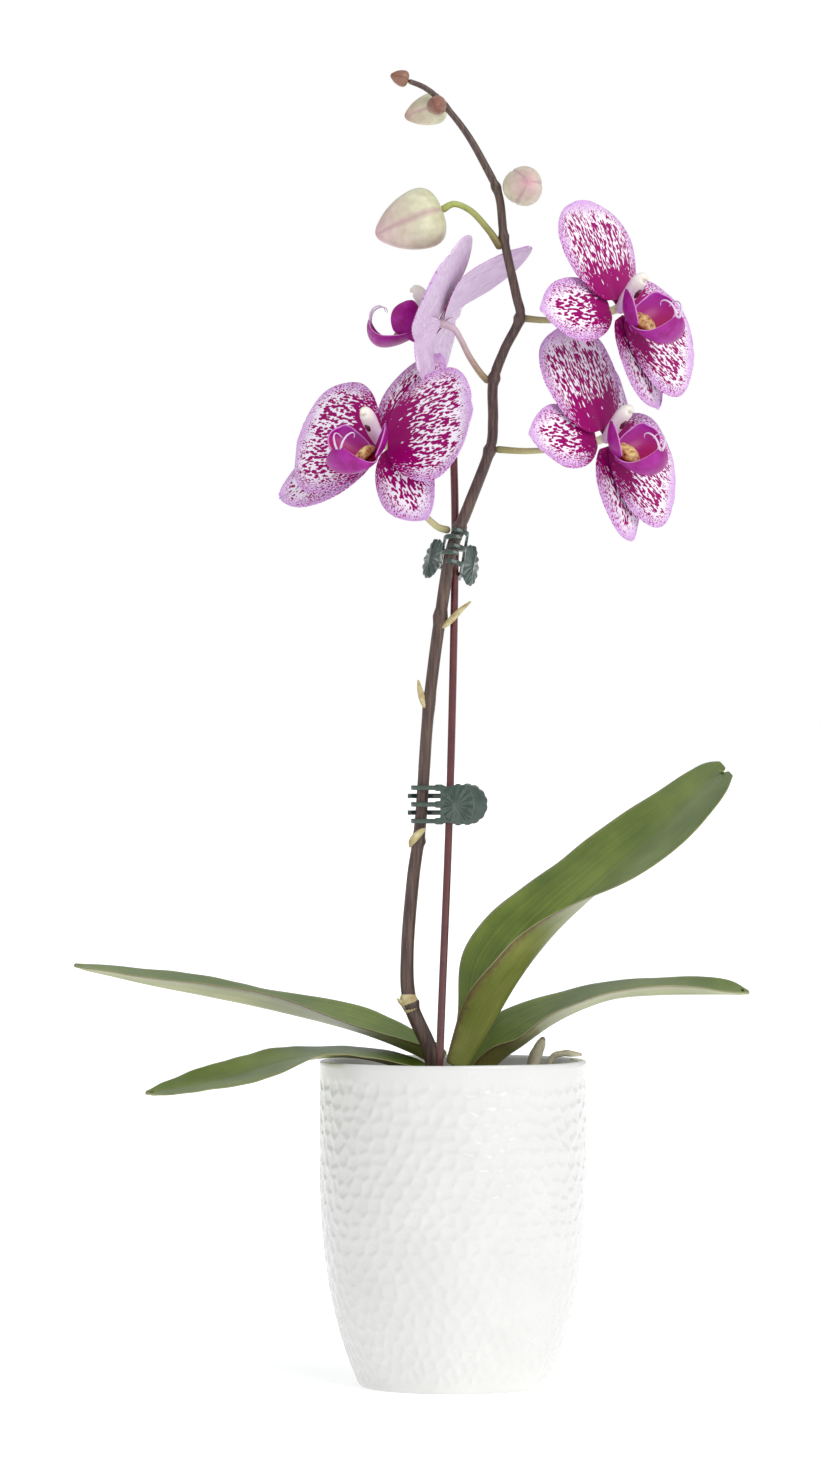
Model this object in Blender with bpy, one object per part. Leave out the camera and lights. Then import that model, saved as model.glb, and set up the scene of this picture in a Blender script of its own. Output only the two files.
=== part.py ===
"""Potted moth orchid: a plant in a nursery pot inside a dimpled ceramic cover pot, with a
flower spike held to a support stake by two sprung clips.

Units are metres, +Z is up, the origin is the centre of the cover pot's foot, and -Y is the
front. The driving sizes come first. Plant heights are measured from the pot's rim, so the
plant rises and sinks with the pot it grows in.
"""
import math

import bmesh
import bpy
from mathutils import Matrix, Vector

mm = 0.001

# Pots
POT_HEIGHT = 163 * mm
POT_RADIUS = 66.75 * mm
POT_FOOT_RADIUS = 46.5 * mm
POT_BELLY_HEIGHT = 125 * mm        # the wall is straight above this
POT_WALL = 4.5 * mm
POT_FLOOR = 6 * mm
LINER_DEPTH_BELOW_RIM = 22 * mm
LINER_WALL = 1.0 * mm
LINER_LIP = 2.2 * mm
BARK_BELOW_LINER = 3 * mm

# Plant
CROWN_RADIUS = 6 * mm
LEAF_THICKNESS = 1.3 * mm
SPIKE_THICKNESS = 1.0              # multiplies the radii down the spike
PETAL_THICKNESS = 0.8 * mm
PETAL_LENGTH = 48 * mm
PETAL_WIDTH = 56 * mm
SEPAL_LENGTH = 46 * mm
SEPAL_WIDTH = 30 * mm
ROOT_RADIUS = 1.5 * mm

# Stake and clips
STAKE_RADIUS = 1.9 * mm
PIN_RADIUS = 1.0 * mm
JAW_REACH = 18.4 * mm              # hinge to the middle of the held stem
JAW_SPREAD = 5.4 * mm              # hinge line to the middle of a jaw's wall
JAW_WALL = 1.5 * mm
TOOTH_HEIGHT = 2.4 * mm
TOOTH_PITCH = 8.3 * mm
PAD_RADIUS = 10 * mm
PAD_TILT = 24.5                    # degrees away from the clip's middle plane

# Clearances
GAP = 0.3 * mm                     # between pieces that touch
SLIDE = 1.0 * mm                   # between the liner's lip and the cover pot

RIM = POT_HEIGHT

for thing in list(bpy.data.objects):
    bpy.data.objects.remove(thing, do_unlink=True)


def finish(name, rgb, roughness, coat=0.0):
    """A plain Principled material."""
    made = bpy.data.materials.new(name)
    made.use_nodes = True
    shader = made.node_tree.nodes["Principled BSDF"]
    shader.inputs["Base Color"].default_value = (*rgb, 1)
    shader.inputs["Roughness"].default_value = roughness
    shader.inputs["Metallic"].default_value = 0.0
    shader.inputs["Coat Weight"].default_value = coat
    made.diffuse_color = (*rgb, 1)
    return made


GLAZE = finish("white_glaze", (0.86, 0.86, 0.84), 0.25, 0.4)
LINER = finish("liner_plastic", (0.55, 0.56, 0.52), 0.4)
BARK = finish("bark", (0.22, 0.13, 0.07), 0.9)
LEAF = finish("leaf_green", (0.13, 0.24, 0.04), 0.4)
ROOT = finish("root_velamen", (0.45, 0.46, 0.36), 0.7)
SPIKE = finish("spike_brown", (0.16, 0.10, 0.08), 0.5)
BRACT = finish("bract_straw", (0.50, 0.42, 0.22), 0.6)
PEDICEL = finish("pedicel_green", (0.50, 0.48, 0.20), 0.5)
STAKE = finish("stake_maroon", (0.18, 0.03, 0.035), 0.25)
CLIP = finish("clip_green", (0.03, 0.09, 0.06), 0.35)
STEEL = finish("spring_steel", (0.5, 0.5, 0.5), 0.3)
PETAL = finish("petal_spotted", (0.75, 0.42, 0.72), 0.5)
LIP = finish("lip_magenta", (0.45, 0.0, 0.22), 0.4)
COLUMN = finish("column_white", (0.85, 0.80, 0.75), 0.4)
BUD = finish("bud_cream", (0.66, 0.62, 0.42), 0.5)
SMALL_BUD = finish("small_bud_brown", (0.36, 0.18, 0.13), 0.5)


def place(name, bm, material, parent=None):
    """Turn a bmesh into the named object."""
    mesh = bpy.data.meshes.new(name)
    bmesh.ops.recalc_face_normals(bm, faces=bm.faces)
    bm.to_mesh(mesh)
    bm.free()
    mesh.shade_smooth()
    mesh.set_sharp_from_angle(angle=math.radians(40))
    mesh.materials.append(material)
    made = bpy.data.objects.new(name, mesh)
    bpy.context.collection.objects.link(made)
    made.parent = parent
    return made


def turned(name, profile, material, steps=40, parent=None):
    """A solid turned about Z from (radius, height) points, from the axis and back to it."""
    bm = bmesh.new()
    points = [bm.verts.new((r, 0, z)) for r, z in profile]
    edges = [bm.edges.new(pair) for pair in zip(points, points[1:])]
    bmesh.ops.spin(bm, geom=points + edges, cent=(0, 0, 0), axis=(0, 0, 1),
                   angle=math.tau, steps=steps, use_merge=True)
    bmesh.ops.remove_doubles(bm, verts=bm.verts, dist=0.01 * mm)
    return place(name, bm, material, parent)


def through(points, per_span):
    """A smooth curve through the given points (Catmull-Rom), per_span steps to a span.

    A point may carry more than a place: every number in it is blended the same way."""
    points = [tuple(p) for p in points]
    padded = [points[0]] + points + [points[-1]]
    made = []
    for i in range(len(points) - 1):
        before, a, b, after = padded[i:i + 4]
        for k in range(per_span):
            t = k / per_span
            made.append(tuple(
                0.5 * (2 * q + (r - p) * t + (2 * p - 5 * q + 4 * r - s) * t * t
                       + (3 * q - p - 3 * r + s) * t ** 3)
                for p, q, r, s in zip(before, a, b, after)))
    made.append(points[-1])
    return made


def stalk(name, points, material, per_span=3, rounding=1):
    """A tapering round stalk along (x, y, height above the rim, radius) points."""
    curve = bpy.data.curves.new(name, "CURVE")
    curve.dimensions = "3D"
    curve.bevel_depth = 1.0
    curve.bevel_resolution = rounding
    curve.use_fill_caps = True
    route = through(points, per_span)
    spline = curve.splines.new("POLY")
    spline.points.add(len(route) - 1)
    for point, (x, y, z, radius) in zip(spline.points, route):
        point.co = (x * mm, y * mm, RIM + z * mm, 1)
        point.radius = radius * mm
    curve.materials.append(material)
    made = bpy.data.objects.new(name, curve)
    bpy.context.collection.objects.link(made)
    return made


def sheet(name, along, across, point, thickness, material, parent=None):
    """A thin sheet mapped from a flat grid: point(u, v) with u in 0..1 and v in -1..1."""
    bm = bmesh.new()
    bmesh.ops.create_grid(bm, x_segments=along, y_segments=across, size=1)
    for vert in bm.verts:
        vert.co = point((vert.co.x + 1) / 2, vert.co.y)
    made = place(name, bm, material, parent)
    solid = made.modifiers.new("thickness", "SOLIDIFY")
    solid.thickness = thickness
    solid.offset = 0
    return made


def bored(body, radius, height, x, y, z_middle):
    """Cut a round hole, standing on Z, out of a body."""
    bm = bmesh.new()
    bmesh.ops.create_cone(bm, cap_ends=True, segments=20, radius1=radius, radius2=radius,
                          depth=height)
    tool = place(body.name + "_bore", bm, material=BARK)
    tool.location = (x, y, z_middle)
    tool.hide_render = True
    tool.display_type = "WIRE"
    cut = body.modifiers.new("bore", "BOOLEAN")
    cut.operation = "DIFFERENCE"
    cut.solver = "EXACT"
    cut.object = tool


# The cover pot: a glazed cup whose wall curves in to a small foot.

def pot_radius(z):
    """Outside radius of the cover pot at a height."""
    rise = min(max(z / POT_BELLY_HEIGHT, 0), 1)
    return POT_RADIUS - (POT_RADIUS - POT_FOOT_RADIUS) * (1 - rise) ** 2.8


FOOT_ROUND = 1.2 * mm
RIM_ROUND = 0.8 * mm
heights = [FOOT_ROUND, 6 * mm, 14 * mm, 26 * mm, 44 * mm, 68 * mm, 94 * mm,
           POT_BELLY_HEIGHT]
outside = [(pot_radius(z), z) for z in heights]
inside = [(pot_radius(z) - POT_WALL, z) for z in reversed(heights) if z > POT_FLOOR]
turned("outer_pot",
       [(0, 0), (POT_FOOT_RADIUS - FOOT_ROUND, 0)] + outside
       + [(POT_RADIUS, RIM - RIM_ROUND), (POT_RADIUS - RIM_ROUND, RIM),
          (POT_RADIUS - POT_WALL + RIM_ROUND, RIM), (POT_RADIUS - POT_WALL, RIM - RIM_ROUND)]
       + inside
       + [(pot_radius(POT_FLOOR) - POT_WALL - 2 * mm, POT_FLOOR), (0, POT_FLOOR)],
       GLAZE, steps=44)

# The nursery pot stands on the cover pot's floor, with its lip just inside the wall.

LINER_TOP = RIM - LINER_DEPTH_BELOW_RIM
LINER_BASE = POT_FLOOR + GAP
LINER_LIP_DEEP = 4 * mm
LINER_HOLE_RADIUS = 4 * mm
lip_radius = pot_radius(LINER_TOP) - POT_WALL - SLIDE
liner_top_radius = lip_radius - LINER_LIP
liner_base_radius = pot_radius(POT_FLOOR) - POT_WALL - 5 * mm


def liner_radius(z):
    """Outside radius of the nursery pot's tapered wall at a height."""
    share = (z - LINER_BASE) / (LINER_TOP - LINER_BASE)
    return liner_base_radius + (liner_top_radius - liner_base_radius) * share


liner_floor = LINER_BASE + LINER_WALL
lip_bottom = LINER_TOP - LINER_LIP_DEEP
liner = turned("nursery_pot",
               [(0, LINER_BASE), (liner_base_radius, LINER_BASE),
                (liner_radius(lip_bottom), lip_bottom), (lip_radius, lip_bottom),
                (lip_radius, LINER_TOP), (liner_top_radius - LINER_WALL, LINER_TOP),
                (liner_radius(liner_floor) - LINER_WALL, liner_floor), (0, liner_floor)],
               LINER, steps=40)
for turn in range(4):
    a = math.radians(45 + 90 * turn)
    reach = liner_base_radius * 0.6
    bored(liner, LINER_HOLE_RADIUS, 6 * mm, reach * math.cos(a), reach * math.sin(a), liner_floor)

# The bark fills the nursery pot, with a hole for the stake and one for the crown.

BARK_TOP = LINER_TOP - BARK_BELOW_LINER
BARK_DOME = 1.5 * mm
STAKE_FOOT = (-8, -25.2, -93)          # mm from the rim, deep in the bark
CROWN_PLACE = (1 * mm, 0)
CROWN_DEPTH = 28 * mm
bark_floor = liner_floor + GAP
bark = turned("bark_medium",
              [(0, bark_floor), (liner_radius(bark_floor) - LINER_WALL - GAP, bark_floor),
               (liner_radius(BARK_TOP - BARK_DOME) - LINER_WALL - GAP, BARK_TOP - BARK_DOME),
               (liner_radius(BARK_TOP) * 0.6, BARK_TOP), (0, BARK_TOP)],
              BARK, steps=40)
stake_hole_deep = BARK_TOP - (RIM + STAKE_FOOT[2] * mm) + 2 * GAP
bored(bark, STAKE_RADIUS + 3 * GAP, stake_hole_deep + 10 * mm,
      (STAKE_FOOT[0] + 0.6) * mm, (STAKE_FOOT[1] + 0.6) * mm,
      BARK_TOP + 5 * mm - stake_hole_deep / 2)
bored(bark, CROWN_RADIUS + GAP, CROWN_DEPTH + 10 * mm, *CROWN_PLACE,
      BARK_TOP + 5 * mm - CROWN_DEPTH / 2)

# The crown: the short stem that carries the leaves.

crown_foot = BARK_TOP - CROWN_DEPTH + GAP
CROWN_TOP = RIM - 10 * mm
crown = turned("crown_stem",
               [(0, crown_foot), (CROWN_RADIUS - 1 * mm, crown_foot),
                (CROWN_RADIUS, crown_foot + 4 * mm), (CROWN_RADIUS, CROWN_TOP - 5 * mm),
                (CROWN_RADIUS * 0.75, CROWN_TOP - 1.2 * mm), (0, CROWN_TOP)],
               LEAF, steps=20)
crown.location = (*CROWN_PLACE, 0)

# Leaves. Each station is (x, y, height above the rim) of the midrib in mm, then how far the
# near and the far half rise from it in degrees, and the half width in mm.

over_rim = -POT_RADIUS / mm
LEAVES = {
    "leaf_upper_left": [
        (-7, 5, -3, 45, 60, 9), (-20, 9, 4.5, 18, 35, 16), (-49, 14, 15.5, 6, 26, 25),
        (-91, 18, 26, 15, 15, 29), (-125, 22, 33, 12, 15, 29), (-151, 25, 38, 8, 14, 25),
        (-175, 27, 43.5, 4, 12, 15), (-191, 28, 47, 0, 8, 4)],
    "leaf_lower_left": [
        (-8, -3, -15, 40, 45, 8), (-22, -8, -4, 10, 22, 16), (-45, -13, 3, 2, 8, 24),
        (over_rim + 1, -18, 3.5, 3, 7, 28), (over_rim - 20, -22, -0.5, -8, 14, 29),
        (over_rim - 40, -25, -7, -6, 19, 27), (over_rim - 60, -28, -11, -5, 20, 21),
        (over_rim - 77, -30, -14, -4, 20, 12), (over_rim - 86, -31, -14.5, 0, 10, 4)],
    "leaf_tall_right": [
        (5, 3, -6, 68, 60, 11), (16, 4, 13, 58, 58, 19), (29, 4, 35.5, 32, 68, 32),
        (41, 3, 53, 24, 64, 34), (54, 2, 68.5, 13, 50, 34), (69, 1, 83, 0, 44, 33),
        (85, 0, 98, -15, 43, 31), (106, -1, 116, -21, 37, 28), (120, -2, 130, -22, 28, 22),
        (130, -3, 140, -10, 14, 11), (135, -3, 143.5, 0, 4, 4)],
    "leaf_low_right": [
        (10.5, 5, -14, 40, 50, 10), (23, 8, 0, 21, 47, 24), (34, 9, 8, 10, 42, 28),
        (49, 10, 18.7, 10, 27, 29), (65, 11, 26.7, 8, 18, 29), (82, 12, 32, 8, 14, 28),
        (103, 13, 33.7, 10, 15, 26), (125, 14, 34, 8, 20, 20), (141, 15, 34, 0, 25, 11),
        (149, 15, 33.5, 0, 10, 4)],
}
LEAF_STEPS = 2                         # rows of faces between two stations
LEAF_ACROSS = 6


def leaf(name, stations):
    """A channelled leaf: two halves that rise from a midrib lying in the X-Z plane."""
    rows = through(stations, LEAF_STEPS)

    def point(u, v):
        i = round(u * (len(rows) - 1))
        x, y, z, near, far, half = rows[i]
        ahead, behind = rows[min(i + 1, len(rows) - 1)], rows[max(i - 1, 0)]
        run = Vector((ahead[0] - behind[0], 0, ahead[2] - behind[2])).normalized()
        rise = Vector((-run.z, 0, run.x)) * (1 if run.x > 0 else -1)
        tilt = math.radians(far if v > 0 else near)
        out = half * (abs(v) - 0.12 * abs(v) * (1 - abs(v)))
        lift = math.sin(tilt) * half * abs(v) ** 1.25
        flat = math.cos(tilt) * out * (1 if v > 0 else -1)
        place_mm = Vector((x, y + flat, z)) + rise * lift
        return Vector((place_mm.x * mm, place_mm.y * mm, RIM + place_mm.z * mm))

    sheet(name, len(rows) - 1, LEAF_ACROSS, point, LEAF_THICKNESS, LEAF)


for leaf_name, leaf_stations in LEAVES.items():
    leaf(leaf_name, leaf_stations)

# Aerial roots: one stands up inside the rim, the other runs out over it.

bark_face = (BARK_TOP - RIM + 2 * GAP) / mm
root = ROOT_RADIUS / mm
rim_in = (POT_RADIUS - POT_WALL) / mm
over = root + GAP / mm
stalk("aerial_root_upright",
      [(36, 14, bark_face, 3.2), (38, 13, -12, 3.4), (41, 12, 0, 3.4), (44.5, 12, 9, 2.6)],
      ROOT, per_span=2)
stalk("aerial_root_on_rim",
      [(48, 22, bark_face, root), (47, 24, -10, root), (50, 24, 0, root),
       (rim_in - 6.5, 24, over + 0.2, root), (rim_in - 2, 25, over + 0.1, root),
       (rim_in + 2, 26, over, root * 0.6)],
      ROOT, per_span=3)

# The flower spike: it leans, kinks at each flower stalk and thins towards the last bud.
# Points are (x, y, height above the rim, radius) in mm.

s = SPIKE_THICKNESS
SPIKE_ROUTE = [
    (-9.7, -13, -3.2, 4.0 * s), (-12.5, -13.6, 8, 3.9 * s), (-21.7, -15, 30.6, 3.6 * s),
    (-22.8, -15.5, 55.5, 3.3 * s), (-20, -16, 90.3, 3.2 * s), (-16.2, -16.4, 120.2, 3.0 * s),
    (-11.8, -17.5, 179.9, 3.0 * s), (-3.7, -19, 239.6, 3.1 * s), (0.1, -19.6, 257.5, 3.1 * s),
    (8, -20, 277.3, 2.9 * s), (18.2, -21, 304.2, 2.7 * s), (19.8, -22.5, 319, 2.6 * s),
    (19.9, -25, 337.7, 2.6 * s), (25.3, -29, 353.4, 2.4 * s), (32.9, -32, 369.1, 2.5 * s),
    (31, -34, 380.9, 2.3 * s), (25.2, -37, 407.4, 2.2 * s), (22.5, -38, 429.1, 2.1 * s),
    (15.3, -38.5, 444.9, 1.9 * s), (5.4, -38.5, 461.7, 1.7 * s), (-6.8, -38.5, 476.5, 1.5 * s),
    (-14, -38.5, 482.5, 1.4 * s), (-21.2, -38.5, 485.6, 1.3 * s)]
stalk("flower_spike", SPIKE_ROUTE, SPIKE, per_span=2, rounding=2)
stalk("spike_bract_lower", [(-21.5, -20.6, 107, 0.7), (-18.5, -21.6, 112, 1.9),
                            (-14, -21.6, 116, 1.1)], BRACT)
stalk("spike_bract_upper", [(0.6, -20.6, 219, 1.5), (3.5, -20.6, 224, 1.4),
                            (8.2, -20.6, 228.3, 0.9)], BRACT)

# The stake: a bowed coated rod, pushed down into the bark.

stake_r = STAKE_RADIUS / mm
STAKE_ROUTE = [(*STAKE_FOOT, stake_r), (-6.75, -24, 0, stake_r), (-1.75, -22.1, 128.5, stake_r),
               (0.9, -14.2, 250, stake_r), (0.3, -11.6, 301, stake_r)]
stalk("support_stake", STAKE_ROUTE, STAKE, per_span=3, rounding=2)

# Clips. In a clip's own frame the hinge pin stands on Z, the teeth reach along +X round the
# stem, and the pads flare out behind. The three-tooth jaw is on the +Y side.

PIN_LENGTH = 17 * mm
LUG_RADIUS = 2.3 * mm
LUG_THICK = 2 * mm
OUTER_LUG = 6.7 * mm                   # middle of the three-tooth jaw's lugs
INNER_LUG = 4.3 * mm
SPRING_WIRE = 0.35 * mm
SPRING_TURNS = 3
SPRING_STEPS = 10                      # points to a turn
SPRING_LEG = 1.6 * mm
PAD_THICK = 1.8 * mm
WEB_LENGTH = 10.5 * mm                 # from the hinge to where the teeth part
PAD_CENTRE = Vector((-2 * mm, 9.6 * mm))
HOOK_TURN = 125                        # degrees that a tooth wraps round the stem
HOOK_OFFSET = 1.6 * mm                 # the two-tooth jaw's hooks reach this much further


def block(bm, low, high):
    """A box between two corners."""
    low, high = Vector(low), Vector(high)
    made = bmesh.ops.create_cube(bm, size=1)["verts"]
    bmesh.ops.scale(bm, vec=high - low, verts=made)
    bmesh.ops.translate(bm, vec=(high + low) / 2, verts=made)


def joined(name, pieces, material, parent):
    """One solid from overlapping meshes."""
    body = place(name, pieces[0], material, parent)
    for i, piece in enumerate(pieces[1:]):
        tool = place(f"{name}_piece_{i}", piece, material, parent)
        tool.hide_render = True
        tool.display_type = "WIRE"
        union = body.modifiers.new("join", "BOOLEAN")
        union.operation = "UNION"
        union.solver = "EXACT"
        union.object = tool
    return body


def ring_sector(bm, centre, radius, start, end, wall, low, high, steps, lead):
    """A strip of rectangular section: a straight lead in, then an arc about a centre."""
    inner, outer = [], []
    for k in range(-1, steps + 1):
        a = math.radians(start + (end - start) * max(k, 0) / steps)
        out = Vector((math.cos(a), math.sin(a)))
        middle = centre + out * radius
        if k < 0:
            middle = Vector((lead, middle.y))
            out = Vector((0, math.copysign(1, out.y)))
        inner.append(middle - out * wall / 2)
        outer.append(middle + out * wall / 2)
    outline = inner + outer[::-1]
    face = bm.faces.new([bm.verts.new((p.x, p.y, low)) for p in outline])
    top = bmesh.ops.extrude_face_region(bm, geom=[face])["geom"]
    bmesh.ops.translate(bm, vec=(0, 0, high - low),
                        verts=[g for g in top if isinstance(g, bmesh.types.BMVert)])


def jaw(name, side, teeth, lug, hook_centre, hook_radius, parent):
    """A jaw on the +Y (side 1) or -Y (side -1) side, moulded with its pad and lugs."""
    pieces = []
    web = bmesh.new()
    half_web = max(teeth) + TOOTH_HEIGHT / 2
    wall_low = JAW_SPREAD - JAW_WALL / 2
    wall_high = JAW_SPREAD + JAW_WALL / 2
    ys = sorted((side * wall_low, side * wall_high))
    block(web, (-1.8 * mm, ys[0], -half_web + 0.4 * mm), (WEB_LENGTH, ys[1], half_web - 0.4 * mm))
    pieces.append(web)
    for height in teeth:
        tooth = bmesh.new()
        ring_sector(tooth, Vector((hook_centre, 0)), hook_radius, side * 90,
                    side * (90 - HOOK_TURN), JAW_WALL * 1.05, height - TOOTH_HEIGHT / 2,
                    height + TOOTH_HEIGHT / 2, 7, 3 * mm)
        pieces.append(tooth)
    for end in (-1, 1):
        ring = bmesh.new()
        bmesh.ops.create_cone(ring, cap_ends=True, segments=14, radius1=LUG_RADIUS,
                              radius2=LUG_RADIUS, depth=LUG_THICK)
        bmesh.ops.translate(ring, vec=(0, 0, end * lug), verts=ring.verts)
        bar = bmesh.new()
        bar_ys = sorted((side * 0.5 * mm, side * (wall_low + 0.5 * mm)))
        block(bar, (-1.4 * mm, bar_ys[0], end * lug - LUG_THICK / 2 + 0.1 * mm),
              (1.4 * mm, bar_ys[1], end * lug + LUG_THICK / 2 - 0.1 * mm))
        pieces += [ring, bar]
    pad = bmesh.new()
    bmesh.ops.create_cone(pad, cap_ends=True, segments=20, radius1=PAD_RADIUS,
                          radius2=PAD_RADIUS, depth=PAD_THICK)
    turn = Matrix.Rotation(math.radians(-side * PAD_TILT), 4, "Z")
    lay = Matrix.Rotation(math.radians(90), 4, "X")
    where = Matrix.Translation((PAD_CENTRE.x, side * PAD_CENTRE.y, 0))
    bmesh.ops.transform(pad, matrix=where @ turn @ lay, verts=pad.verts)
    pieces.append(pad)
    body = joined(name, pieces, CLIP, parent)
    hole = bmesh.new()
    bmesh.ops.create_cone(hole, cap_ends=True, segments=12, radius1=PIN_RADIUS + GAP,
                          radius2=PIN_RADIUS + GAP, depth=2 * PIN_LENGTH)
    tool = place(name + "_pin_hole", hole, CLIP, parent)
    tool.hide_render = True
    tool.display_type = "WIRE"
    cut = body.modifiers.new("pin_hole", "BOOLEAN")
    cut.operation = "DIFFERENCE"
    cut.solver = "EXACT"
    cut.object = tool


def clip(name, hinge, axis, reach):
    """A clip whose hinge pin stands on axis at hinge, with its teeth towards reach."""
    axis = Vector(axis).normalized()
    reach = Vector(reach)
    reach = (reach - axis * reach.dot(axis)).normalized()
    across = axis.cross(reach)
    frame = bpy.data.objects.new(name + "_frame", None)
    bpy.context.collection.objects.link(frame)
    turn = Matrix((reach, across, axis)).transposed().to_4x4()
    frame.matrix_world = Matrix.Translation(hinge) @ turn
    jaw(name + "_three_tooth_jaw", 1, (-TOOTH_PITCH, 0, TOOTH_PITCH), OUTER_LUG,
        JAW_REACH, JAW_SPREAD, frame)
    jaw(name + "_two_tooth_jaw", -1, (-TOOTH_PITCH / 2, TOOTH_PITCH / 2), INNER_LUG,
        JAW_REACH + HOOK_OFFSET, JAW_SPREAD, frame)
    pin = bmesh.new()
    bmesh.ops.create_cone(pin, cap_ends=True, segments=12, radius1=PIN_RADIUS,
                          radius2=PIN_RADIUS, depth=PIN_LENGTH)
    place(name + "_hinge_pin", pin, STEEL, frame)
    coil = bpy.data.curves.new(name + "_spring", "CURVE")
    coil.dimensions = "3D"
    coil.bevel_depth = SPRING_WIRE
    coil.bevel_resolution = 0
    coil.use_fill_caps = True
    spline = coil.splines.new("POLY")
    count = SPRING_TURNS * SPRING_STEPS + 1
    spline.points.add(count + 1)
    coil_radius = PIN_RADIUS + GAP + SPRING_WIRE + 0.15 * mm
    coil_half = INNER_LUG - LUG_THICK / 2 - GAP - SPRING_WIRE
    spline.points[0].co = (-SPRING_LEG, coil_radius, -coil_half, 1)
    for k in range(count):
        a = math.radians(90) - math.tau * k / SPRING_STEPS
        z = coil_half * (2 * k / (count - 1) - 1)
        spline.points[k + 1].co = (coil_radius * math.cos(a), coil_radius * math.sin(a), z, 1)
    spline.points[count + 1].co = (SPRING_LEG, coil_radius, coil_half, 1)
    coil.materials.append(STEEL)
    spring = bpy.data.objects.new(name + "_spring", coil)
    bpy.context.collection.objects.link(spring)
    spring.parent = frame


clip("lower_clip", (2.8 * mm, -21.1 * mm, RIM + 128 * mm), (0, 0, 1), (-0.968, 0.25, 0))
clip("upper_clip", (-0.6 * mm, -4.8 * mm, RIM + 249.5 * mm), (0.17, 0.30, 0.94), (0, -1, 0))

# Flowers. In a flower's own frame it faces -Y with its top sepal at +Z. A blade is a petal or
# a sepal: its direction round the flower in degrees from the top, its lean to the front in
# degrees, and its length as a share of the standard one.

RECEPTACLE = 2.8 * mm                  # from the flower's middle to where a blade begins
SEPAL_BACK = 2.4 * mm                  # the sepals stand this far behind the petals
PETAL_OUTLINE = (0.7, 0.45)            # how slowly a petal widens from its foot and narrows to its end
SEPAL_OUTLINE = (0.62, 0.7)
LEAN_CURVE = 0.6                       # how much of a blade's lean comes late in its length
BLADE_ROWS = 9
PETAL_COLUMNS = 6
SEPAL_COLUMNS = 4
BLADE_START = 0.03                     # shares of a blade's length where its sheet begins
BLADE_END = 0.99                       # and ends
TWIST_DONE = 0.4                       # share of the length over which a blade takes its twist


def blade(name, kind, direction, lean, share, size, parent, twist=0):
    """A petal or sepal: a short foot, soon at full width, round or tapered at the end."""
    if kind == "petal":
        length, width, back, foot, taper = PETAL_LENGTH, PETAL_WIDTH, 0, *PETAL_OUTLINE
    else:
        length, width, back, foot, taper = SEPAL_LENGTH, SEPAL_WIDTH, SEPAL_BACK, *SEPAL_OUTLINE
    length *= share
    a = math.radians(direction)
    out = Vector((math.sin(a), 0, math.cos(a)))
    widest = foot / (foot + taper)
    full = widest ** foot * (1 - widest) ** taper

    def point(u, v):
        along = BLADE_START + (BLADE_END - BLADE_START) * (1 - math.cos(math.pi * u)) / 2
        swell = along ** foot * (1 - along) ** taper / full
        turn = math.radians(twist) * min(along / TWIST_DONE, 1)
        side = Vector((math.cos(a), 0, -math.sin(a))) * math.cos(turn)
        side.y = math.sin(turn)
        reach = length * along
        forward = math.tan(math.radians(lean)) * reach * along ** LEAN_CURVE
        spot = out * (RECEPTACLE + reach) + side * (v * swell * width / 2)
        spot.y += back - forward
        return spot * size

    across = PETAL_COLUMNS if kind == "petal" else SEPAL_COLUMNS
    sheet(name, BLADE_ROWS, across, point, PETAL_THICKNESS, PETAL, parent)


LIP_STATIONS = [                       # y, bottom height, half width, height of the sides (mm)
    (-3.5, -6.0, 4.0, 5.0), (-7, -11.5, 8.6, 16.0), (-11, -17, 10.6, 24), (-15.5, -21.5, 10.4, 21),
    (-19.5, -23.3, 9.4, 8), (-24, -22.6, 6.6, 6.4), (-28, -18, 2.6, 2.2)]
LIP_WRAP = math.radians(100)           # how far round its scoop each side of the lip comes
COLUMN_HALF_SIZE = (2.6 * mm, 7.6 * mm, 2.7 * mm)
COLUMN_MIDDLE = (0, -8.2 * mm, 4.0 * mm)
COLUMN_DROOP = -28                     # degrees


def flower(name, centre, azimuth, elevation, roll, size, petals, sepals):
    """A flower whose face looks along azimuth (0 is the front) and elevation, then rolled."""
    level = bpy.data.objects.new(name + "_level_frame", None)     # the lip and column hang level
    frame = bpy.data.objects.new(name + "_frame", None)
    for empty in (level, frame):
        bpy.context.collection.objects.link(empty)
    level.matrix_world = (
        Matrix.Translation((centre[0] * mm, centre[1] * mm, RIM + centre[2] * mm))
        @ Matrix.Rotation(math.radians(azimuth), 4, "Z")
        @ Matrix.Rotation(math.radians(-elevation), 4, "X"))
    frame.matrix_world = level.matrix_world @ Matrix.Rotation(math.radians(roll), 4, "Y")
    for part, values in petals.items():
        blade(f"{name}_{part}_petal", "petal", *values[:3], size, frame, *values[3:])
    for part, values in sepals.items():
        blade(f"{name}_{part}_sepal", "sepal", *values[:3], size, frame, *values[3:])

    rows = through(LIP_STATIONS, 2)

    def lip_point(u, v):
        y, low, half, tall = rows[round(u * (len(rows) - 1))]
        a = LIP_WRAP * v
        bend = (1 - math.cos(a)) / (1 - math.cos(LIP_WRAP))
        return Vector((half * math.sin(a), y, low + tall * bend)) * mm * size

    sheet(f"{name}_lip", len(rows) - 1, 8, lip_point, PETAL_THICKNESS, LIP, level)

    column = bmesh.new()
    bmesh.ops.create_uvsphere(column, u_segments=12, v_segments=8, radius=1)
    lean = Matrix.Rotation(math.radians(COLUMN_DROOP), 4, "X")
    stretch = Matrix.Diagonal((*COLUMN_HALF_SIZE, 1))
    bmesh.ops.transform(column, verts=column.verts,
                        matrix=Matrix.Scale(size, 4)
                        @ Matrix.Translation(COLUMN_MIDDLE) @ lean @ stretch)
    place(f"{name}_column", column, COLUMN, level)


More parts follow.
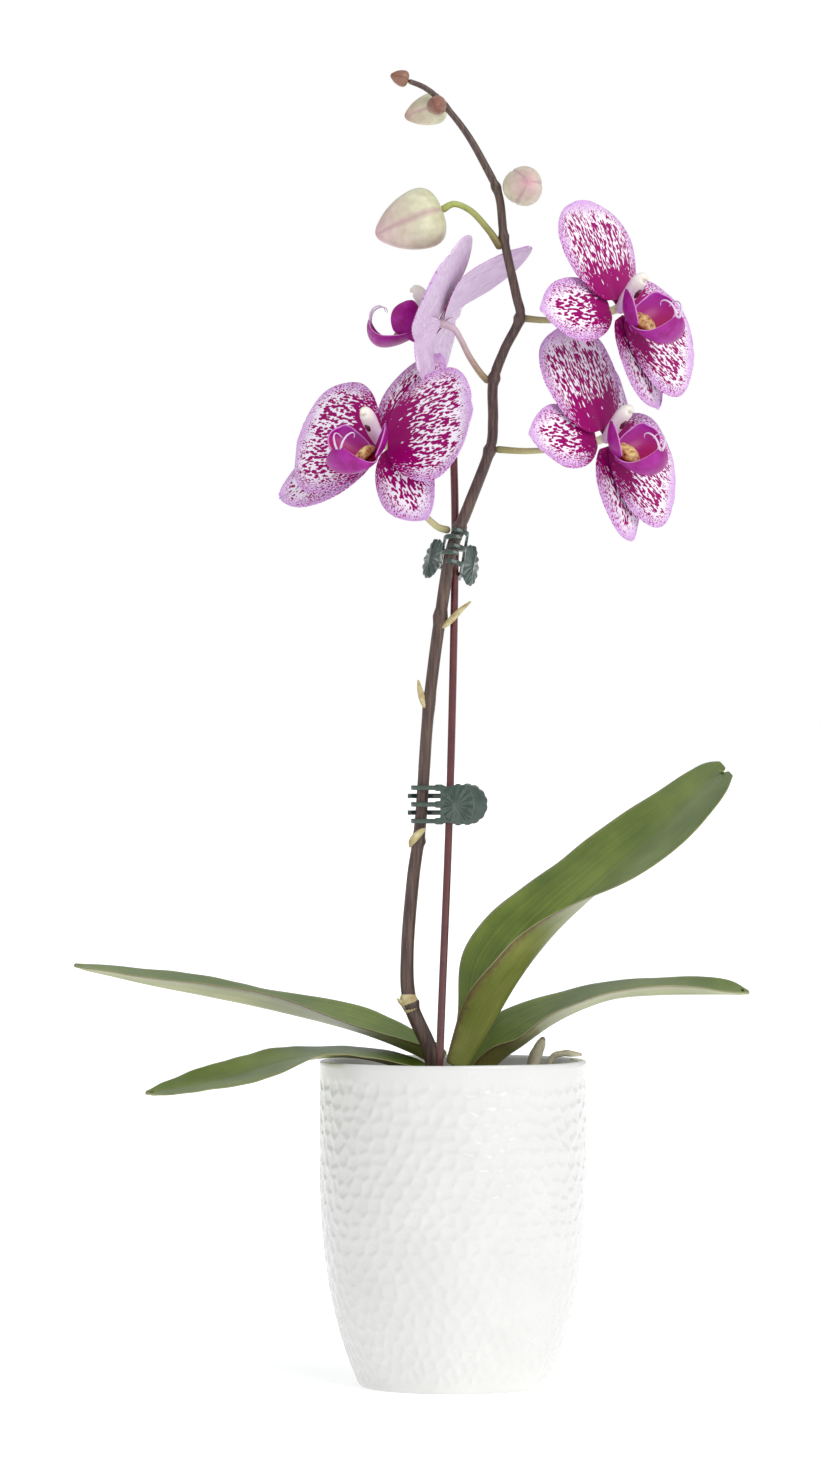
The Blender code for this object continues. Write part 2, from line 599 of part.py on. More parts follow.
flower("lower_left_flower", (-35.9, -32, 307.7), -38, 21, 6, 1.09,
       {"left": (-90, 0, 0.98), "right": (69, 3, 1.04)},
       {"dorsal": (7, -12, 1.04), "left": (-118, -4, 1.3), "right": (133, -8, 0.95)})
flower("upper_left_flower", (-8.1, -16, 368.1), -98, 30, 2, 1.08,
       {"left": (-84, 0, 1.0), "right": (58, 5, 1.05)},
       {"dorsal": (1, -21, 1.07, -22), "left": (-119, -8, 0.98), "right": (131, -10, 0.7)})
flower("upper_right_flower", (81.7, -44, 373.3), 54, 19, 40, 1.14,
       {"left": (-45, -1, 1.0), "right": (76, 1, 1.02)},
       {"dorsal": (0, -8, 1.0), "left": (-130, -7, 1.0), "right": (117, -5, 0.98)})
flower("lower_right_flower", (75, -36, 309.5), 52, 17, 42, 1.12,
       {"left": (-55, -1, 1.05), "right": (77, -1, 1.0)},
       {"dorsal": (0, -8, 1.0), "left": (-129, -6, 0.94), "right": (125, -5, 0.96)})

# Flower stalks, from the spike's side to the back of each flower.

stalk("lower_left_pedicel",
      [(-3.2, -20.5, 264.5, 1.9), (-9, -21, 266.8, 1.7), (-18, -21.5, 276.5, 1.6),
       (-25, -22, 291, 1.6), (-29.5, -24, 301.8, 1.8), (-35.2, -31.1, 307.4, 2.2)], PEDICEL)
stalk("upper_left_pedicel",
      [(16.6, -24.8, 338.8, 1.8), (13.3, -24, 342.5, 1.7), (8.1, -21.5, 350.4, 1.6),
       (3.6, -18.8, 359.5, 1.5), (0, -16.8, 364.9, 1.7), (-6.9, -16.2, 367.6, 2.2)], PEDICEL)
stalk("upper_right_pedicel",
      [(36.2, -32.3, 368.8, 1.8), (45.3, -33, 368, 1.6), (59.3, -33.5, 368.3, 1.5),
       (71, -36, 370, 1.7), (80.7, -43.2, 373, 2.2)], PEDICEL)
stalk("lower_right_pedicel",
      [(22.6, -21.4, 304.4, 1.8), (34.7, -22, 303.6, 1.6), (46.6, -23, 304, 1.5),
       (59.4, -25.5, 304.8, 1.6), (66.3, -29, 306.4, 1.8), (74.1, -35.2, 309.2, 2.2)], PEDICEL)
stalk("large_bud_stalk",
      [(19, -37.2, 408.4, 1.9), (17, -37.2, 412.8, 1.7), (9.1, -37.5, 421.4, 1.6),
       (0.8, -37.8, 425.2, 1.6), (-4.6, -38, 422.9, 1.9)], PEDICEL)

# Buds, each turned about its own length with a blunt foot and a pointed tip.

BUD_SHAPE = [(0, 0), (0.16, 0.10), (0.30, 0.27), (0.42, 0.52), (0.45, 0.72), (0.36, 0.90),
             (0.17, 0.985), (0, 1)]    # radius and place along a bud of unit length, tip first


def bud(name, tip, foot, fatness, material, steps=14):
    """A bud from its tip to its foot, in mm from the rim."""
    tip, foot = Vector(tip) * mm, Vector(foot) * mm
    length = (foot - tip).length
    made = turned(name, [(r * fatness * length, a * length) for r, a in BUD_SHAPE],
                  material, steps)
    made.matrix_world = (Matrix.Translation(tip + Vector((0, 0, RIM)))
                         @ (foot - tip).to_track_quat("Z", "Y").to_matrix().to_4x4())


bud("large_bud", (-38.5, -38, 409.6), (-5.2, -38, 421.6), 0.96, BUD)
bud("side_bud", (36.6, -55, 434.9), (33.4, -35.5, 433.2), 1.12, BUD)
bud("upper_bud", (-24.2, -28, 469), (-3.9, -28, 475), 0.85, BUD)
bud("small_bud", (-8.6, -51, 472), (-8.1, -40.7, 474), 1.05, SMALL_BUD, 12)
bud("tip_bud", (-31.2, -39, 488.9), (-22.2, -38.5, 486.3), 1.0, SMALL_BUD, 12)
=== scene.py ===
import math
import random

import bpy
from mathutils import Matrix, Vector, noise


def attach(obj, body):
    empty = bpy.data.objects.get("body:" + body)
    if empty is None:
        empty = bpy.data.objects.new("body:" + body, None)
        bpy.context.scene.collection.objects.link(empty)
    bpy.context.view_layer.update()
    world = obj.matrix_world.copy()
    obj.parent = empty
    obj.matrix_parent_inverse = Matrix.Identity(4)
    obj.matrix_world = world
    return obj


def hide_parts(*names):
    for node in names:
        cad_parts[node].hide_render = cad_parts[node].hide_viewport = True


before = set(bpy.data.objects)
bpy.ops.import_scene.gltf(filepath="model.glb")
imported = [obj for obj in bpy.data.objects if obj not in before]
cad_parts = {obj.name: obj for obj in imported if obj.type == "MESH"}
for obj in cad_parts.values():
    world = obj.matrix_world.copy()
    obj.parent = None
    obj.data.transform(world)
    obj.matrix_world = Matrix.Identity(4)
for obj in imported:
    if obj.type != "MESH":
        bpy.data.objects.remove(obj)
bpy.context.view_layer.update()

# Studio: a very large pale floor under an even bright room, with one broad soft light above
# the viewer's right shoulder. The camera stands level with the middle of the plant, well
# back, so that upright lines stay upright.


def pick(*pieces):
    """Select only these pieces, the first of them active."""
    bpy.ops.object.select_all(action="DESELECT")
    for piece in pieces:
        piece.select_set(True)
    if pieces:
        bpy.context.view_layer.objects.active = pieces[0]


def feed(tree, value, socket):
    """Give a socket a fixed value, or another node's output."""
    if isinstance(value, bpy.types.NodeSocket):
        tree.links.new(value, socket)
    else:
        socket.default_value = value


def add_node(tree, kind, **settings):
    """A shader node. Lower-case names are its settings, the others are its sockets."""
    made = tree.nodes.new("ShaderNode" + kind)
    for name, value in settings.items():
        if name[0].islower():
            setattr(made, name, value)
        else:
            feed(tree, value, made.inputs[name.replace("_", " ")])
    return made


def surface(name, roughness, **sockets):
    """A Principled material, its node tree and its shader."""
    made = bpy.data.materials.new(name)
    made.use_nodes = True
    shader = made.node_tree.nodes["Principled BSDF"]
    for socket, value in {"Roughness": roughness, **sockets}.items():
        shader.inputs[socket.replace("_", " ")].default_value = value
    return made, made.node_tree, shader


def remap(tree, value, old, new, curve="LINEAR"):
    """A value carried from one range to another."""
    return add_node(tree, "MapRange", interpolation_type=curve, Value=value, From_Min=old[0],
                    From_Max=old[1], To_Min=new[0], To_Max=new[1]).outputs["Result"]


def patchy(tree, scale, detail, stretch=None, uv=False, **settings):
    """Noise on object coordinates or on the piece's own map, stretched if asked."""
    place = (add_node(tree, "UVMap", uv_map="UVMap").outputs["UV"] if uv
             else add_node(tree, "TexCoord").outputs["Object"])
    if stretch:
        place = add_node(tree, "Mapping", Vector=place, Scale=stretch).outputs["Vector"]
    return add_node(tree, "TexNoise", Vector=place, Scale=scale, Detail=detail,
                    **settings).outputs["Fac"]


def paint(tree, shader, colour):
    """Send a colour to the shader."""
    tree.links.new(colour, shader.inputs["Base Color"])


pick()
bpy.ops.mesh.primitive_plane_add(size=120, location=(0, 0, 0))
floor = bpy.context.object
floor.name = "pale_floor"
paper, tree, shader = surface("pale_paper", 0.9, Specular_IOR_Level=0.1,
                              Emission_Color=(1, 1, 1, 1), Emission_Strength=0.42)
paint(tree, shader, remap(tree, patchy(tree, 40, 2), (0, 1), (0.93, 0.96)))
floor.data.materials.append(paper)

bpy.ops.object.light_add(type="SUN", rotation=(math.radians(52), 0, math.radians(36)))
key_light = bpy.context.object
key_light.name = "broad_key"
key_light.data.energy = 1.6
key_light.data.angle = math.radians(50)
key_light.data.color = (1.0, 0.985, 0.96)

room = bpy.data.worlds.new("bright_room")
room.use_nodes = True
bpy.context.scene.world = room
tree = room.node_tree
room_light = tree.nodes["Background"]
room_light.inputs["Color"].default_value = (0.94, 0.97, 1.0, 1)
room_light.inputs["Strength"].default_value = 0.64
backdrop = add_node(tree, "Background", Color=(1, 1, 1, 1))
room_mix = add_node(tree, "MixShader",
                    Fac=add_node(tree, "LightPath").outputs["Is Camera Ray"])
feed(tree, room_light.outputs["Background"], room_mix.inputs[1])
feed(tree, backdrop.outputs["Background"], room_mix.inputs[2])
feed(tree, room_mix.outputs["Shader"], tree.nodes["World Output"].inputs["Surface"])

CAMERA_BACK = 3.5
bpy.ops.object.camera_add(location=(-0.021, -CAMERA_BACK, 0.327),
                          rotation=(math.radians(90), 0, 0))
camera = bpy.context.object
camera.data.sensor_fit = "VERTICAL"
camera.data.sensor_height = 36
camera.data.lens = 172.1
camera.data.clip_end = 100
bpy.context.scene.camera = camera
bpy.context.scene.view_settings.view_transform = "Standard"

# Cover pot: a slip-cast stoneware cup under a thick glossy white glaze. The mould pressed
# rows of shallow six-sided dimples into the whole wall, and left a plain band below the rim.

mm = 0.001
POT_HEIGHT = 163 * mm
POT_RADIUS = 66.75 * mm
POT_FOOT = 46.5 * mm
POT_BELLY = 125 * mm
POT_WALL = 4.5 * mm
POT_FLOOR = 6 * mm
DIMPLES_ROUND = 50
DIMPLE_ROW = 7.2 * mm
DIMPLE_DEPTH = 0.55 * mm
DIMPLE_JITTER = 0.7                    # share of a dimple's pitch by which its middle strays
RIDGE_WIDTH = 4.6                      # mm from a ridge to where a dimple is at full depth
WALL_STEP = 1.0 * mm
RIM = POT_HEIGHT
MERGED = 0.00001


def grid(name, rows, columns):
    """A flat grid to be shaped, with each point's place on it from (0, 0) to (1, 1)."""
    pick()
    bpy.ops.mesh.primitive_grid_add(x_subdivisions=rows, y_subdivisions=columns, size=1)
    made = bpy.context.object
    made.name = name
    made.data.name = name
    return made, [(v.co.x + 0.5, v.co.y + 0.5) for v in made.data.vertices]


def weld(capped=False):
    """Merge the active mesh's doubles, cap its open ends if asked, and turn its faces out."""
    bpy.ops.object.mode_set(mode="EDIT")
    bpy.ops.mesh.select_all(action="SELECT")
    bpy.ops.mesh.remove_doubles(threshold=MERGED)
    if capped:
        bpy.ops.mesh.select_non_manifold()
        bpy.ops.mesh.fill()
        bpy.ops.mesh.select_all(action="SELECT")
    bpy.ops.mesh.normals_make_consistent(inside=False)
    bpy.ops.object.mode_set(mode="OBJECT")


def lathe(name, rings, steps, place):
    """A closed skin of rings about an axis: place(row, turn) gives a point, turn in radians.
    Rings that shrink to a point close the ends."""
    made, spots = grid(name, rings - 1, steps)
    for vert, (u, v) in zip(made.data.vertices, spots):
        vert.co = place(round(u * (rings - 1)), math.tau * round(v * steps) / steps)
    weld()
    bpy.ops.object.shade_smooth()
    return made


def settle(piece, modifier_type, **settings):
    """Add a modifier and apply it at once."""
    pick(piece)
    added = piece.modifiers.new(modifier_type.lower(), modifier_type)
    for setting, value in settings.items():
        setattr(added, setting, value)
    bpy.ops.object.modifier_apply(modifier=added.name)


def seat(piece, material, slot, *nodes, body="plant_and_pot"):
    """Give a finished piece its material, its body and the solids it stands for. The slot is not
    used.
    """
    if material:
        piece.data.materials.append(material)
    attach(piece, body)
    if nodes:
        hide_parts(*nodes)


def new_group(name, inputs, outputs):
    """A shader node group with its named sockets, and its own input and output nodes."""
    group = bpy.data.node_groups.new(name, "ShaderNodeTree")
    kinds = {float: "NodeSocketFloat", tuple: "NodeSocketColor"}
    for socket, value in inputs.items():
        group.interface.new_socket(socket, in_out="INPUT",
                                   socket_type=kinds[type(value)]).default_value = value
    for socket, kind in outputs.items():
        group.interface.new_socket(socket, in_out="OUTPUT", socket_type=kind)
    return group, group.nodes.new("NodeGroupInput"), group.nodes.new("NodeGroupOutput")


def pot_radius(z):
    rise = min(max(z / POT_BELLY, 0), 1)
    return POT_RADIUS - (POT_RADIUS - POT_FOOT) * (1 - rise) ** 2.8


def dimple(turn, z):
    """How far a wall point sinks into its dimple, from 0 on a ridge to 1 in the middle."""
    column = turn / math.tau * DIMPLES_ROUND
    row = z / DIMPLE_ROW
    width = math.tau * POT_RADIUS / DIMPLES_ROUND
    best, second = 9.0, 9.0
    for j in range(math.floor(row) - 1, math.floor(row) + 3):
        shift = 0.5 * (j % 2)
        for i in range(math.floor(column - shift) - 1, math.floor(column - shift) + 3):
            jolt = noise.cell_vector(Vector((i % DIMPLES_ROUND, j, 7)))
            x = (i + shift + (jolt.x - 0.5) * DIMPLE_JITTER - column) * width
            y = (j + (jolt.y - 0.5) * DIMPLE_JITTER - row) * DIMPLE_ROW
            away = math.hypot(x, y) / mm
            if away < best:
                best, second = away, best
            elif away < second:
                second = away
    edge = min((second - best) / RIDGE_WIDTH, 1)
    return edge * edge * (3 - 2 * edge)


foot_profile = [(0, 0), (POT_FOOT - 6 * mm, 0), (POT_FOOT - 1.2 * mm, 0),
                (POT_FOOT - 0.4 * mm, 0.35 * mm)]
wall_profile = [(pot_radius(z), z) for z in (1.2 * mm + k * WALL_STEP for k in range(160))]
WALL_START = len(foot_profile)
WALL_END = WALL_START + len(wall_profile)
pot_profile = foot_profile + wall_profile
pot_profile += [(POT_RADIUS, RIM - 1.2 * mm), (POT_RADIUS - 0.3 * mm, RIM - 0.35 * mm),
                (POT_RADIUS - 1.1 * mm, RIM), (POT_RADIUS - 2.6 * mm, RIM - 0.05 * mm),
                (POT_RADIUS - POT_WALL + 0.4 * mm, RIM - 0.6 * mm),
                (POT_RADIUS - POT_WALL, RIM - 1.8 * mm)]
pot_profile += [(pot_radius(z * mm) - POT_WALL, z * mm)
                for z in (155, 140, 120, 95, 70, 50, 34, 22, 13, 8)]
pot_profile += [(pot_radius(POT_FLOOR) - POT_WALL - 2 * mm, POT_FLOOR), (0, POT_FLOOR)]
POT_STEPS = 400


def pot_point(row, turn):
    """A point of the wall: dimples outside, below a plain band, and a slightly uneven rim."""
    r, z = pot_profile[row]
    x, y = math.cos(turn), math.sin(turn)
    if WALL_START <= row < WALL_END:
        below_rim = min(max((RIM - 7 * mm - z) / (3 * mm), 0), 1)
        above_foot = min(max((z - 2 * mm) / (4 * mm), 0), 1)
        r -= DIMPLE_DEPTH * (below_rim * above_foot) * dimple(turn, z)
        r += 0.25 * mm * noise.noise(Vector((x * 1.6, y * 1.6, z * 22)))
    if row >= WALL_END - 4 and z > 150 * mm:
        z += 0.45 * mm * noise.noise(Vector((x * 1.3, y * 1.3, 3)))
    return r * x, r * y, z


pot = lathe("cover_pot", len(pot_profile), POT_STEPS, pot_point)


def mix_colours(tree, share, first, second, blend="MIX"):
    """Two colours mixed by a share."""
    return add_node(tree, "Mix", data_type="RGBA", blend_type=blend, Factor=share, A=first,
                    B=second).outputs["Result"]


cloud_group, cloud_in, cloud_out = new_group(
    "clouding", {"Scale": 20.0, "Low": (1.0, 1.0, 1.0, 1.0), "High": (1.0, 1.0, 1.0, 1.0)},
    {"Color": "NodeSocketColor", "Value": "NodeSocketFloat"})
cloud = remap(cloud_group, patchy(cloud_group, cloud_in.outputs["Scale"], 4), (0.32, 0.68), (0, 1))
feed(cloud_group, mix_colours(cloud_group, cloud, cloud_in.outputs["Low"],
                              cloud_in.outputs["High"]), cloud_out.inputs["Color"])
feed(cloud_group, cloud, cloud_out.inputs["Value"])


def clouded(tree, scale, low, high):
    """The outputs of a clouding group with its own scale and two colours."""
    return add_node(tree, "Group", node_tree=cloud_group, Scale=scale, Low=(*low, 1),
                    High=(*high, 1)).outputs


def relief(tree, shader, height, strength, distance):
    """Fine relief, fed to the shader's normal."""
    bump = add_node(tree, "Bump", Strength=strength, Distance=distance, Height=height)
    feed(tree, bump.outputs["Normal"], shader.inputs["Normal"])


def grain(tree, shader, scale, strength, distance, stretch=None):
    """Relief from noise on object coordinates."""
    relief(tree, shader, patchy(tree, scale, 3, stretch), strength, distance)


def cloudy_skin(name, roughness, scale, low, high, grain_values, **sockets):
    """A material clouded between two colours, with a grain."""
    made, tree, shader = surface(name, roughness, **sockets)
    paint(tree, shader, clouded(tree, scale, low, high)["Color"])
    grain(tree, shader, *grain_values)
    return made


glaze, tree, shader = surface("white_glaze", 0.22, Coat_Weight=0.35, Coat_Roughness=0.08,
                              IOR=1.5)
tone = clouded(tree, 45.0, (0.66, 0.655, 0.64), (0.695, 0.69, 0.675))
paint(tree, shader, tone["Color"])
feed(tree, remap(tree, tone["Value"], (0, 1), (0.16, 0.30)), shader.inputs["Roughness"])
grain(tree, shader, 260, 0.12, 0.0002)
seat(pot, glaze, "white_glaze", "outer_pot")

# Nursery pot: thin translucent plastic, thermoformed, greyed by damp and roots on the inside.
# It stands loose inside the cover pot and only its lip shows.

liner_plastic = cloudy_skin("liner_plastic", 0.38, 60.0, (0.42, 0.44, 0.38),
                            (0.62, 0.63, 0.57), (500, 0.2, 0.0002), IOR=1.49,
                            Subsurface_Weight=0.15)


def reface(node, material):
    """Give a solid that keeps its shape its finish."""
    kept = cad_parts[node]
    kept.data.materials.clear()
    kept.data.materials.append(material)


reface("nursery_pot", liner_plastic)

# Growing medium: pieces of composted pine bark, chopped and dyed dark by damp, packed round the
# roots up to just below the liner's lip. The top layer lies loose.

BARK_TOP = RIM - 25 * mm
BARK_EDGE = 56 * mm
CHIPS = 190

bark = cloudy_skin("pine_bark", 0.85, 170.0, (0.035, 0.018, 0.010), (0.19, 0.10, 0.055),
                   (420, 0.7, 0.0008, (1, 1, 3)), IOR=1.4)
reface("bark_medium", bark)


def join(pieces, name):
    """Join pieces into the first of them."""
    pick(*pieces)
    bpy.ops.object.join()
    made = bpy.context.object
    made.name = name
    return made


pick()
bpy.ops.mesh.primitive_cube_add(size=1, location=(0, 0, 0))
chip = bpy.context.object
bpy.ops.object.mode_set(mode="EDIT")
bpy.ops.mesh.select_all(action="SELECT")
bpy.ops.mesh.subdivide(number_cuts=2)
bpy.ops.object.mode_set(mode="OBJECT")
chance = random.Random(4)
chips = []
for k in range(CHIPS):
    out = BARK_EDGE * math.sqrt(chance.random())
    turn = chance.uniform(0, math.tau)
    size = Vector((chance.uniform(9, 19), chance.uniform(6, 11), chance.uniform(3, 6))) * mm
    lay = (Matrix.Translation((out * math.cos(turn), out * math.sin(turn),
                               BARK_TOP + chance.uniform(-1, 4) * mm))
           @ Matrix.Rotation(chance.uniform(0, math.tau), 4, "Z")
           @ Matrix.Rotation(chance.uniform(-0.5, 0.5), 4, "X")
           @ Matrix.Rotation(chance.uniform(-0.4, 0.4), 4, "Y"))
    one = chip.copy()
    one.data = chip.data.copy()
    for vert in one.data.vertices:
        rough = noise.noise_vector(vert.co * 1.7 + Vector((k, 0, 0))) * 0.28
        spot = lay @ Vector([(a + b) * c for a, b, c in zip(vert.co, rough, size)])
        pressed = min(BARK_EDGE / math.hypot(spot.x, spot.y), 1)    # held in by the liner
        vert.co = (spot.x * pressed, spot.y * pressed, spot.z)
    bpy.context.collection.objects.link(one)
    chips.append(one)
bpy.data.objects.remove(chip)
chips = join(chips, "bark_chips")
bpy.ops.object.shade_smooth_by_angle(angle=math.radians(35))
seat(chips, bark, "bark")

# Leaves: thick, waxy and strap-shaped, clasping the crown at the base. Each is channelled
# along a midrib that stands out as a keel underneath, and its tip has an uneven notch.

OVER = -66.75
LEAF_STATIONS = {
    "leaf_upper_left": [
        (-7, 5, -3, 45, 60, 9), (-20, 9, 4.5, 18, 35, 16), (-49, 14, 15.5, 6, 26, 25),
        (-91, 18, 26, 15, 15, 29), (-125, 22, 33, 12, 15, 29), (-151, 25, 38, 8, 14, 25),
        (-175, 27, 43.5, 4, 12, 15), (-191, 28, 47, 0, 8, 4)],
    "leaf_lower_left": [
        (-8, -3, -15, 40, 45, 8), (-22, -8, -4, 10, 22, 16), (-45, -13, 3, 2, 8, 24),
        (OVER + 1, -18, 3.5, 3, 7, 28), (OVER - 20, -22, -0.5, -8, 14, 29),
        (OVER - 40, -25, -7, -6, 19, 27), (OVER - 60, -28, -11, -5, 20, 21),
        (OVER - 77, -30, -14, -4, 20, 12), (OVER - 86, -31, -14.5, 0, 10, 4)],
    "leaf_tall_right": [
        (5, 3, -6, 68, 60, 11), (16, 4, 13, 58, 58, 19), (29, 4, 35.5, 32, 68, 32),
        (41, 3, 53, 24, 64, 34), (54, 2, 68.5, 13, 50, 34), (69, 1, 83, 0, 44, 33),
        (85, 0, 98, -15, 43, 31), (106, -1, 116, -21, 37, 29), (120, -2, 130, -21, 30, 27),
        (131, -3, 140.5, -18, 28, 22), (137, -3, 145.5, -16, 27, 12)],
    "leaf_low_right": [
        (10.5, 5, -14, 40, 50, 10), (23, 8, 0, 21, 47, 24), (34, 9, 8, 10, 42, 28),
        (49, 10, 18.7, 10, 27, 29), (65, 11, 26.7, 8, 18, 29), (82, 12, 32, 8, 14, 28),
        (103, 13, 33.7, 10, 15, 26), (125, 14, 34, 8, 20, 20), (141, 15, 34, 0, 25, 11),
        (149, 15, 33.5, 0, 10, 4)],
}


def through(points, per_span):
    """A smooth curve through points that may carry more than a place (Catmull-Rom)."""
    padded = [points[0]] + list(points) + [points[-1]]
    made = []
    for i in range(len(points) - 1):
        before, a, b, after = padded[i:i + 4]
        for k in range(per_span):
            t = k / per_span
            made.append(tuple(
                0.5 * (2 * q + (r - p) * t + (2 * p - 5 * q + 4 * r - s) * t * t
                       + (3 * q - p - 3 * r + s) * t ** 3)
                for p, q, r, s in zip(before, a, b, after)))
    made.append(tuple(points[-1]))
    return made


def uv_parts(tree, which="UVMap"):
    """The two shares of a place on one of the piece's own maps."""
    place = add_node(tree, "UVMap", uv_map=which).outputs["UV"]
    split = add_node(tree, "SeparateXYZ", Vector=place)
    return split.outputs["X"], split.outputs["Y"]


def calc(tree, operation, *values):
    """A Math node's result on fixed values or other outputs."""
    made = add_node(tree, "Math", operation=operation)
    for socket, value in zip(made.inputs, values):
        feed(tree, value, socket)
    return made.outputs["Value"]


def leaf_skin(name, veins, low, high, edge, fringe, rough):
    """Leaf surface: lengthwise veins in the colour and relief, a ragged margin, cloudy green."""
    made, tree, shader = surface(name, rough, IOR=1.45, Coat_Weight=0.25, Coat_Roughness=0.3)
    lines = patchy(tree, 1.0, 2, stretch=(1.2, veins, 1), uv=True)
    veined = mix_colours(tree, 0.55, clouded(tree, 35.0, low, high)["Color"],
                         remap(tree, lines, (0.35, 0.65), (0.72, 1.25)), "MULTIPLY")
    from_side = calc(tree, "PINGPONG", uv_parts(tree)[1], 0.5)
    ragged = calc(tree, "MULTIPLY_ADD", patchy(tree, 420, 2), fringe * 1.2, from_side)
    margin = remap(tree, calc(tree, "SUBTRACT", ragged, fringe * 0.6), (0, fringe), (0.85, 0))
    paint(tree, shader, mix_colours(tree, margin, veined, (*edge, 1)))
    relief(tree, shader, lines, 0.35, 0.0006)
    return made


def face(piece, polygon, direction):
    """Turn a sheet over if the numbered face looks away from a direction."""
    if piece.data.polygons[polygon].normal.dot(direction) < 0:
        piece.data.flip_normals()


leaf_top = leaf_skin("leaf_upper_side", 70, (0.085, 0.135, 0.016), (0.165, 0.225, 0.032),
                     (0.28, 0.27, 0.12), 0.03, 0.34)
leaf_under = leaf_skin("leaf_underside", 46, (0.19, 0.22, 0.045), (0.31, 0.32, 0.090),
                       (0.13, 0.06, 0.045), 0.11, 0.42)
LEAF_STEPS = 5
LEAF_ACROSS = 16
LEAF_THICKNESS = 2.2 * mm
LEAF_WAVE = 0.7
TIP_NOTCH = 5.0
for node, stations in LEAF_STATIONS.items():
    rows = through(stations, LEAF_STEPS)
    blade, spots = grid(node.replace("leaf_", "") + "_leaf", len(rows) - 1, LEAF_ACROSS)
    thick = blade.vertex_groups.new(name="flesh")
    for vert, (u, v) in zip(blade.data.vertices, spots):
        i = round(u * (len(rows) - 1))
        v = 2 * v - 1
        x, y, z, near, far, half = rows[i]
        ahead, behind = rows[min(i + 1, len(rows) - 1)], rows[max(i - 1, 0)]
        run = Vector((ahead[0] - behind[0], 0, ahead[2] - behind[2])).normalized()
        rise = Vector((-run.z, 0, run.x)) * (1 if run.x > 0 else -1)
        tilt = math.radians(far if v > 0 else near)
        out = half * (abs(v) - 0.12 * abs(v) * (1 - abs(v)))
        lift = math.sin(tilt) * half * abs(v) ** 1.25
        flat = math.cos(tilt) * out * (1 if v > 0 else -1)
        wave = LEAF_WAVE * noise.noise(Vector((x * 0.03, y, v * 1.5))) * abs(v) * min(u * 4, 1)
        notch = TIP_NOTCH * max(0, 1 - abs(v) * 3) * max(0, (u - 0.96) / 0.04)
        spot = Vector((x, y + flat, z)) + rise * (lift + wave) - run * notch
        vert.co = (spot.x * mm, spot.y * mm, RIM + spot.z * mm)
        body_share = 1 - abs(v)
        thick.add([vert.index], 0.35 + 0.65 * body_share ** 2, "REPLACE")
    blade.data.materials.append(leaf_top)
    blade.data.materials.append(leaf_under)
    face(blade, len(blade.data.polygons) // 2, Vector((0, 0, 1)))
    settle(blade, "SOLIDIFY", thickness=LEAF_THICKNESS, offset=-1, vertex_group="flesh",
           thickness_vertex_group=0.0, material_offset=1, material_offset_rim=0)
    settle(blade, "SUBSURF", levels=1, render_levels=1)
    bpy.ops.object.shade_smooth()
    seat(blade, None, "leaf_green", node)
reface("crown_stem", leaf_under)

# Aerial roots: living roots as thick as a pencil lead, wrapped in silvery velamen. One was cut
# and dried to a ragged brown end, the other lies along the rim and browns at its tip.


def tube(name, route, sides=16, dome=True, ripple=None):
    """A round stalk along (x, y, z, radius) points, closed by a dome or a flat cut."""
    route = [(Vector(p[:3]), p[3]) for p in route]
    heading = [(route[min(i + 1, len(route) - 1)][0] - route[max(i - 1, 0)][0]).normalized()
               for i in range(len(route))]
    side = heading[0].orthogonal().normalized()
    rings = []
    for (centre, radius), ahead in zip(route, heading):
        side = (side - ahead * side.dot(ahead)).normalized()
        rings.append((centre, radius, ahead, side, ahead.cross(side)))
    caps = (0, 0.45, 0.8, 0.97) if dome else (0, 1)
    first, last = rings[0], rings[-1]
    start = [(first[0] - first[2] * first[1] * (math.sqrt(1 - c * c) if dome else 0),
              first[1] * c, *first[2:]) for c in caps]
    end = [(last[0] + last[2] * last[1] * (math.sqrt(1 - c * c) if dome else 0),
            last[1] * c, *last[2:]) for c in reversed(caps)]
    rings = start + (rings if dome else rings[1:-1]) + end

    def point(row, turn):
        centre, radius, ahead, across, up = rings[row]
        if ripple and radius > 0:
            radius *= 1 + ripple(row / len(rings), turn, centre)
        return centre + (across * math.cos(turn) + up * math.sin(turn)) * radius

    return lathe(name, len(rings), sides, point)


def above_rim(points):
    """Points in millimetres above the pot's rim, as metres."""
    return [(x * mm, y * mm, RIM + z * mm, r * mm) for x, y, z, r in points]


velamen, tree, shader = surface("root_velamen", 0.72, IOR=1.35)
silver = clouded(tree, 140.0, (0.50, 0.46, 0.32), (0.78, 0.74, 0.58))["Color"]
near_tip = remap(tree, uv_parts(tree)[0], (0.86, 0.97), (0, 1))
paint(tree, shader, mix_colours(tree, near_tip, silver, (0.16, 0.09, 0.05, 1)))
grain(tree, shader, 900, 0.5, 0.0004)


def knobbly(share, turn, centre):
    return 0.10 * noise.noise(centre * 260) + 0.05 * noise.noise(centre * 700)


upright = tube("upright_root", through(above_rim(
    [(36, 14, -24.4, 3.0), (38, 13, -12, 3.2), (41, 12, 0, 3.2), (43.5, 12, 6, 2.7),
     (45, 12, 9.5, 1.6)]), 6), ripple=knobbly)
seat(upright, velamen, "root_velamen", "aerial_root_upright")
resting = tube("rim_root", through(above_rim(
    [(48, 22, -24.4, 1.5), (47, 24, -10, 1.5), (50, 24, 0, 1.6), (55.8, 24, 2.2, 1.6),
     (60.2, 25, 1.9, 1.5), (64.2, 26, 1.5, 0.9)]), 6), ripple=knobbly)
seat(resting, velamen, "root_velamen", "aerial_root_on_rim")

# Flower spike: one woody-green stem, bronzed by the light, thinning to the last bud. Every
# joint has a ring scar, and the lower joints keep a small dry bract clasping the stem.

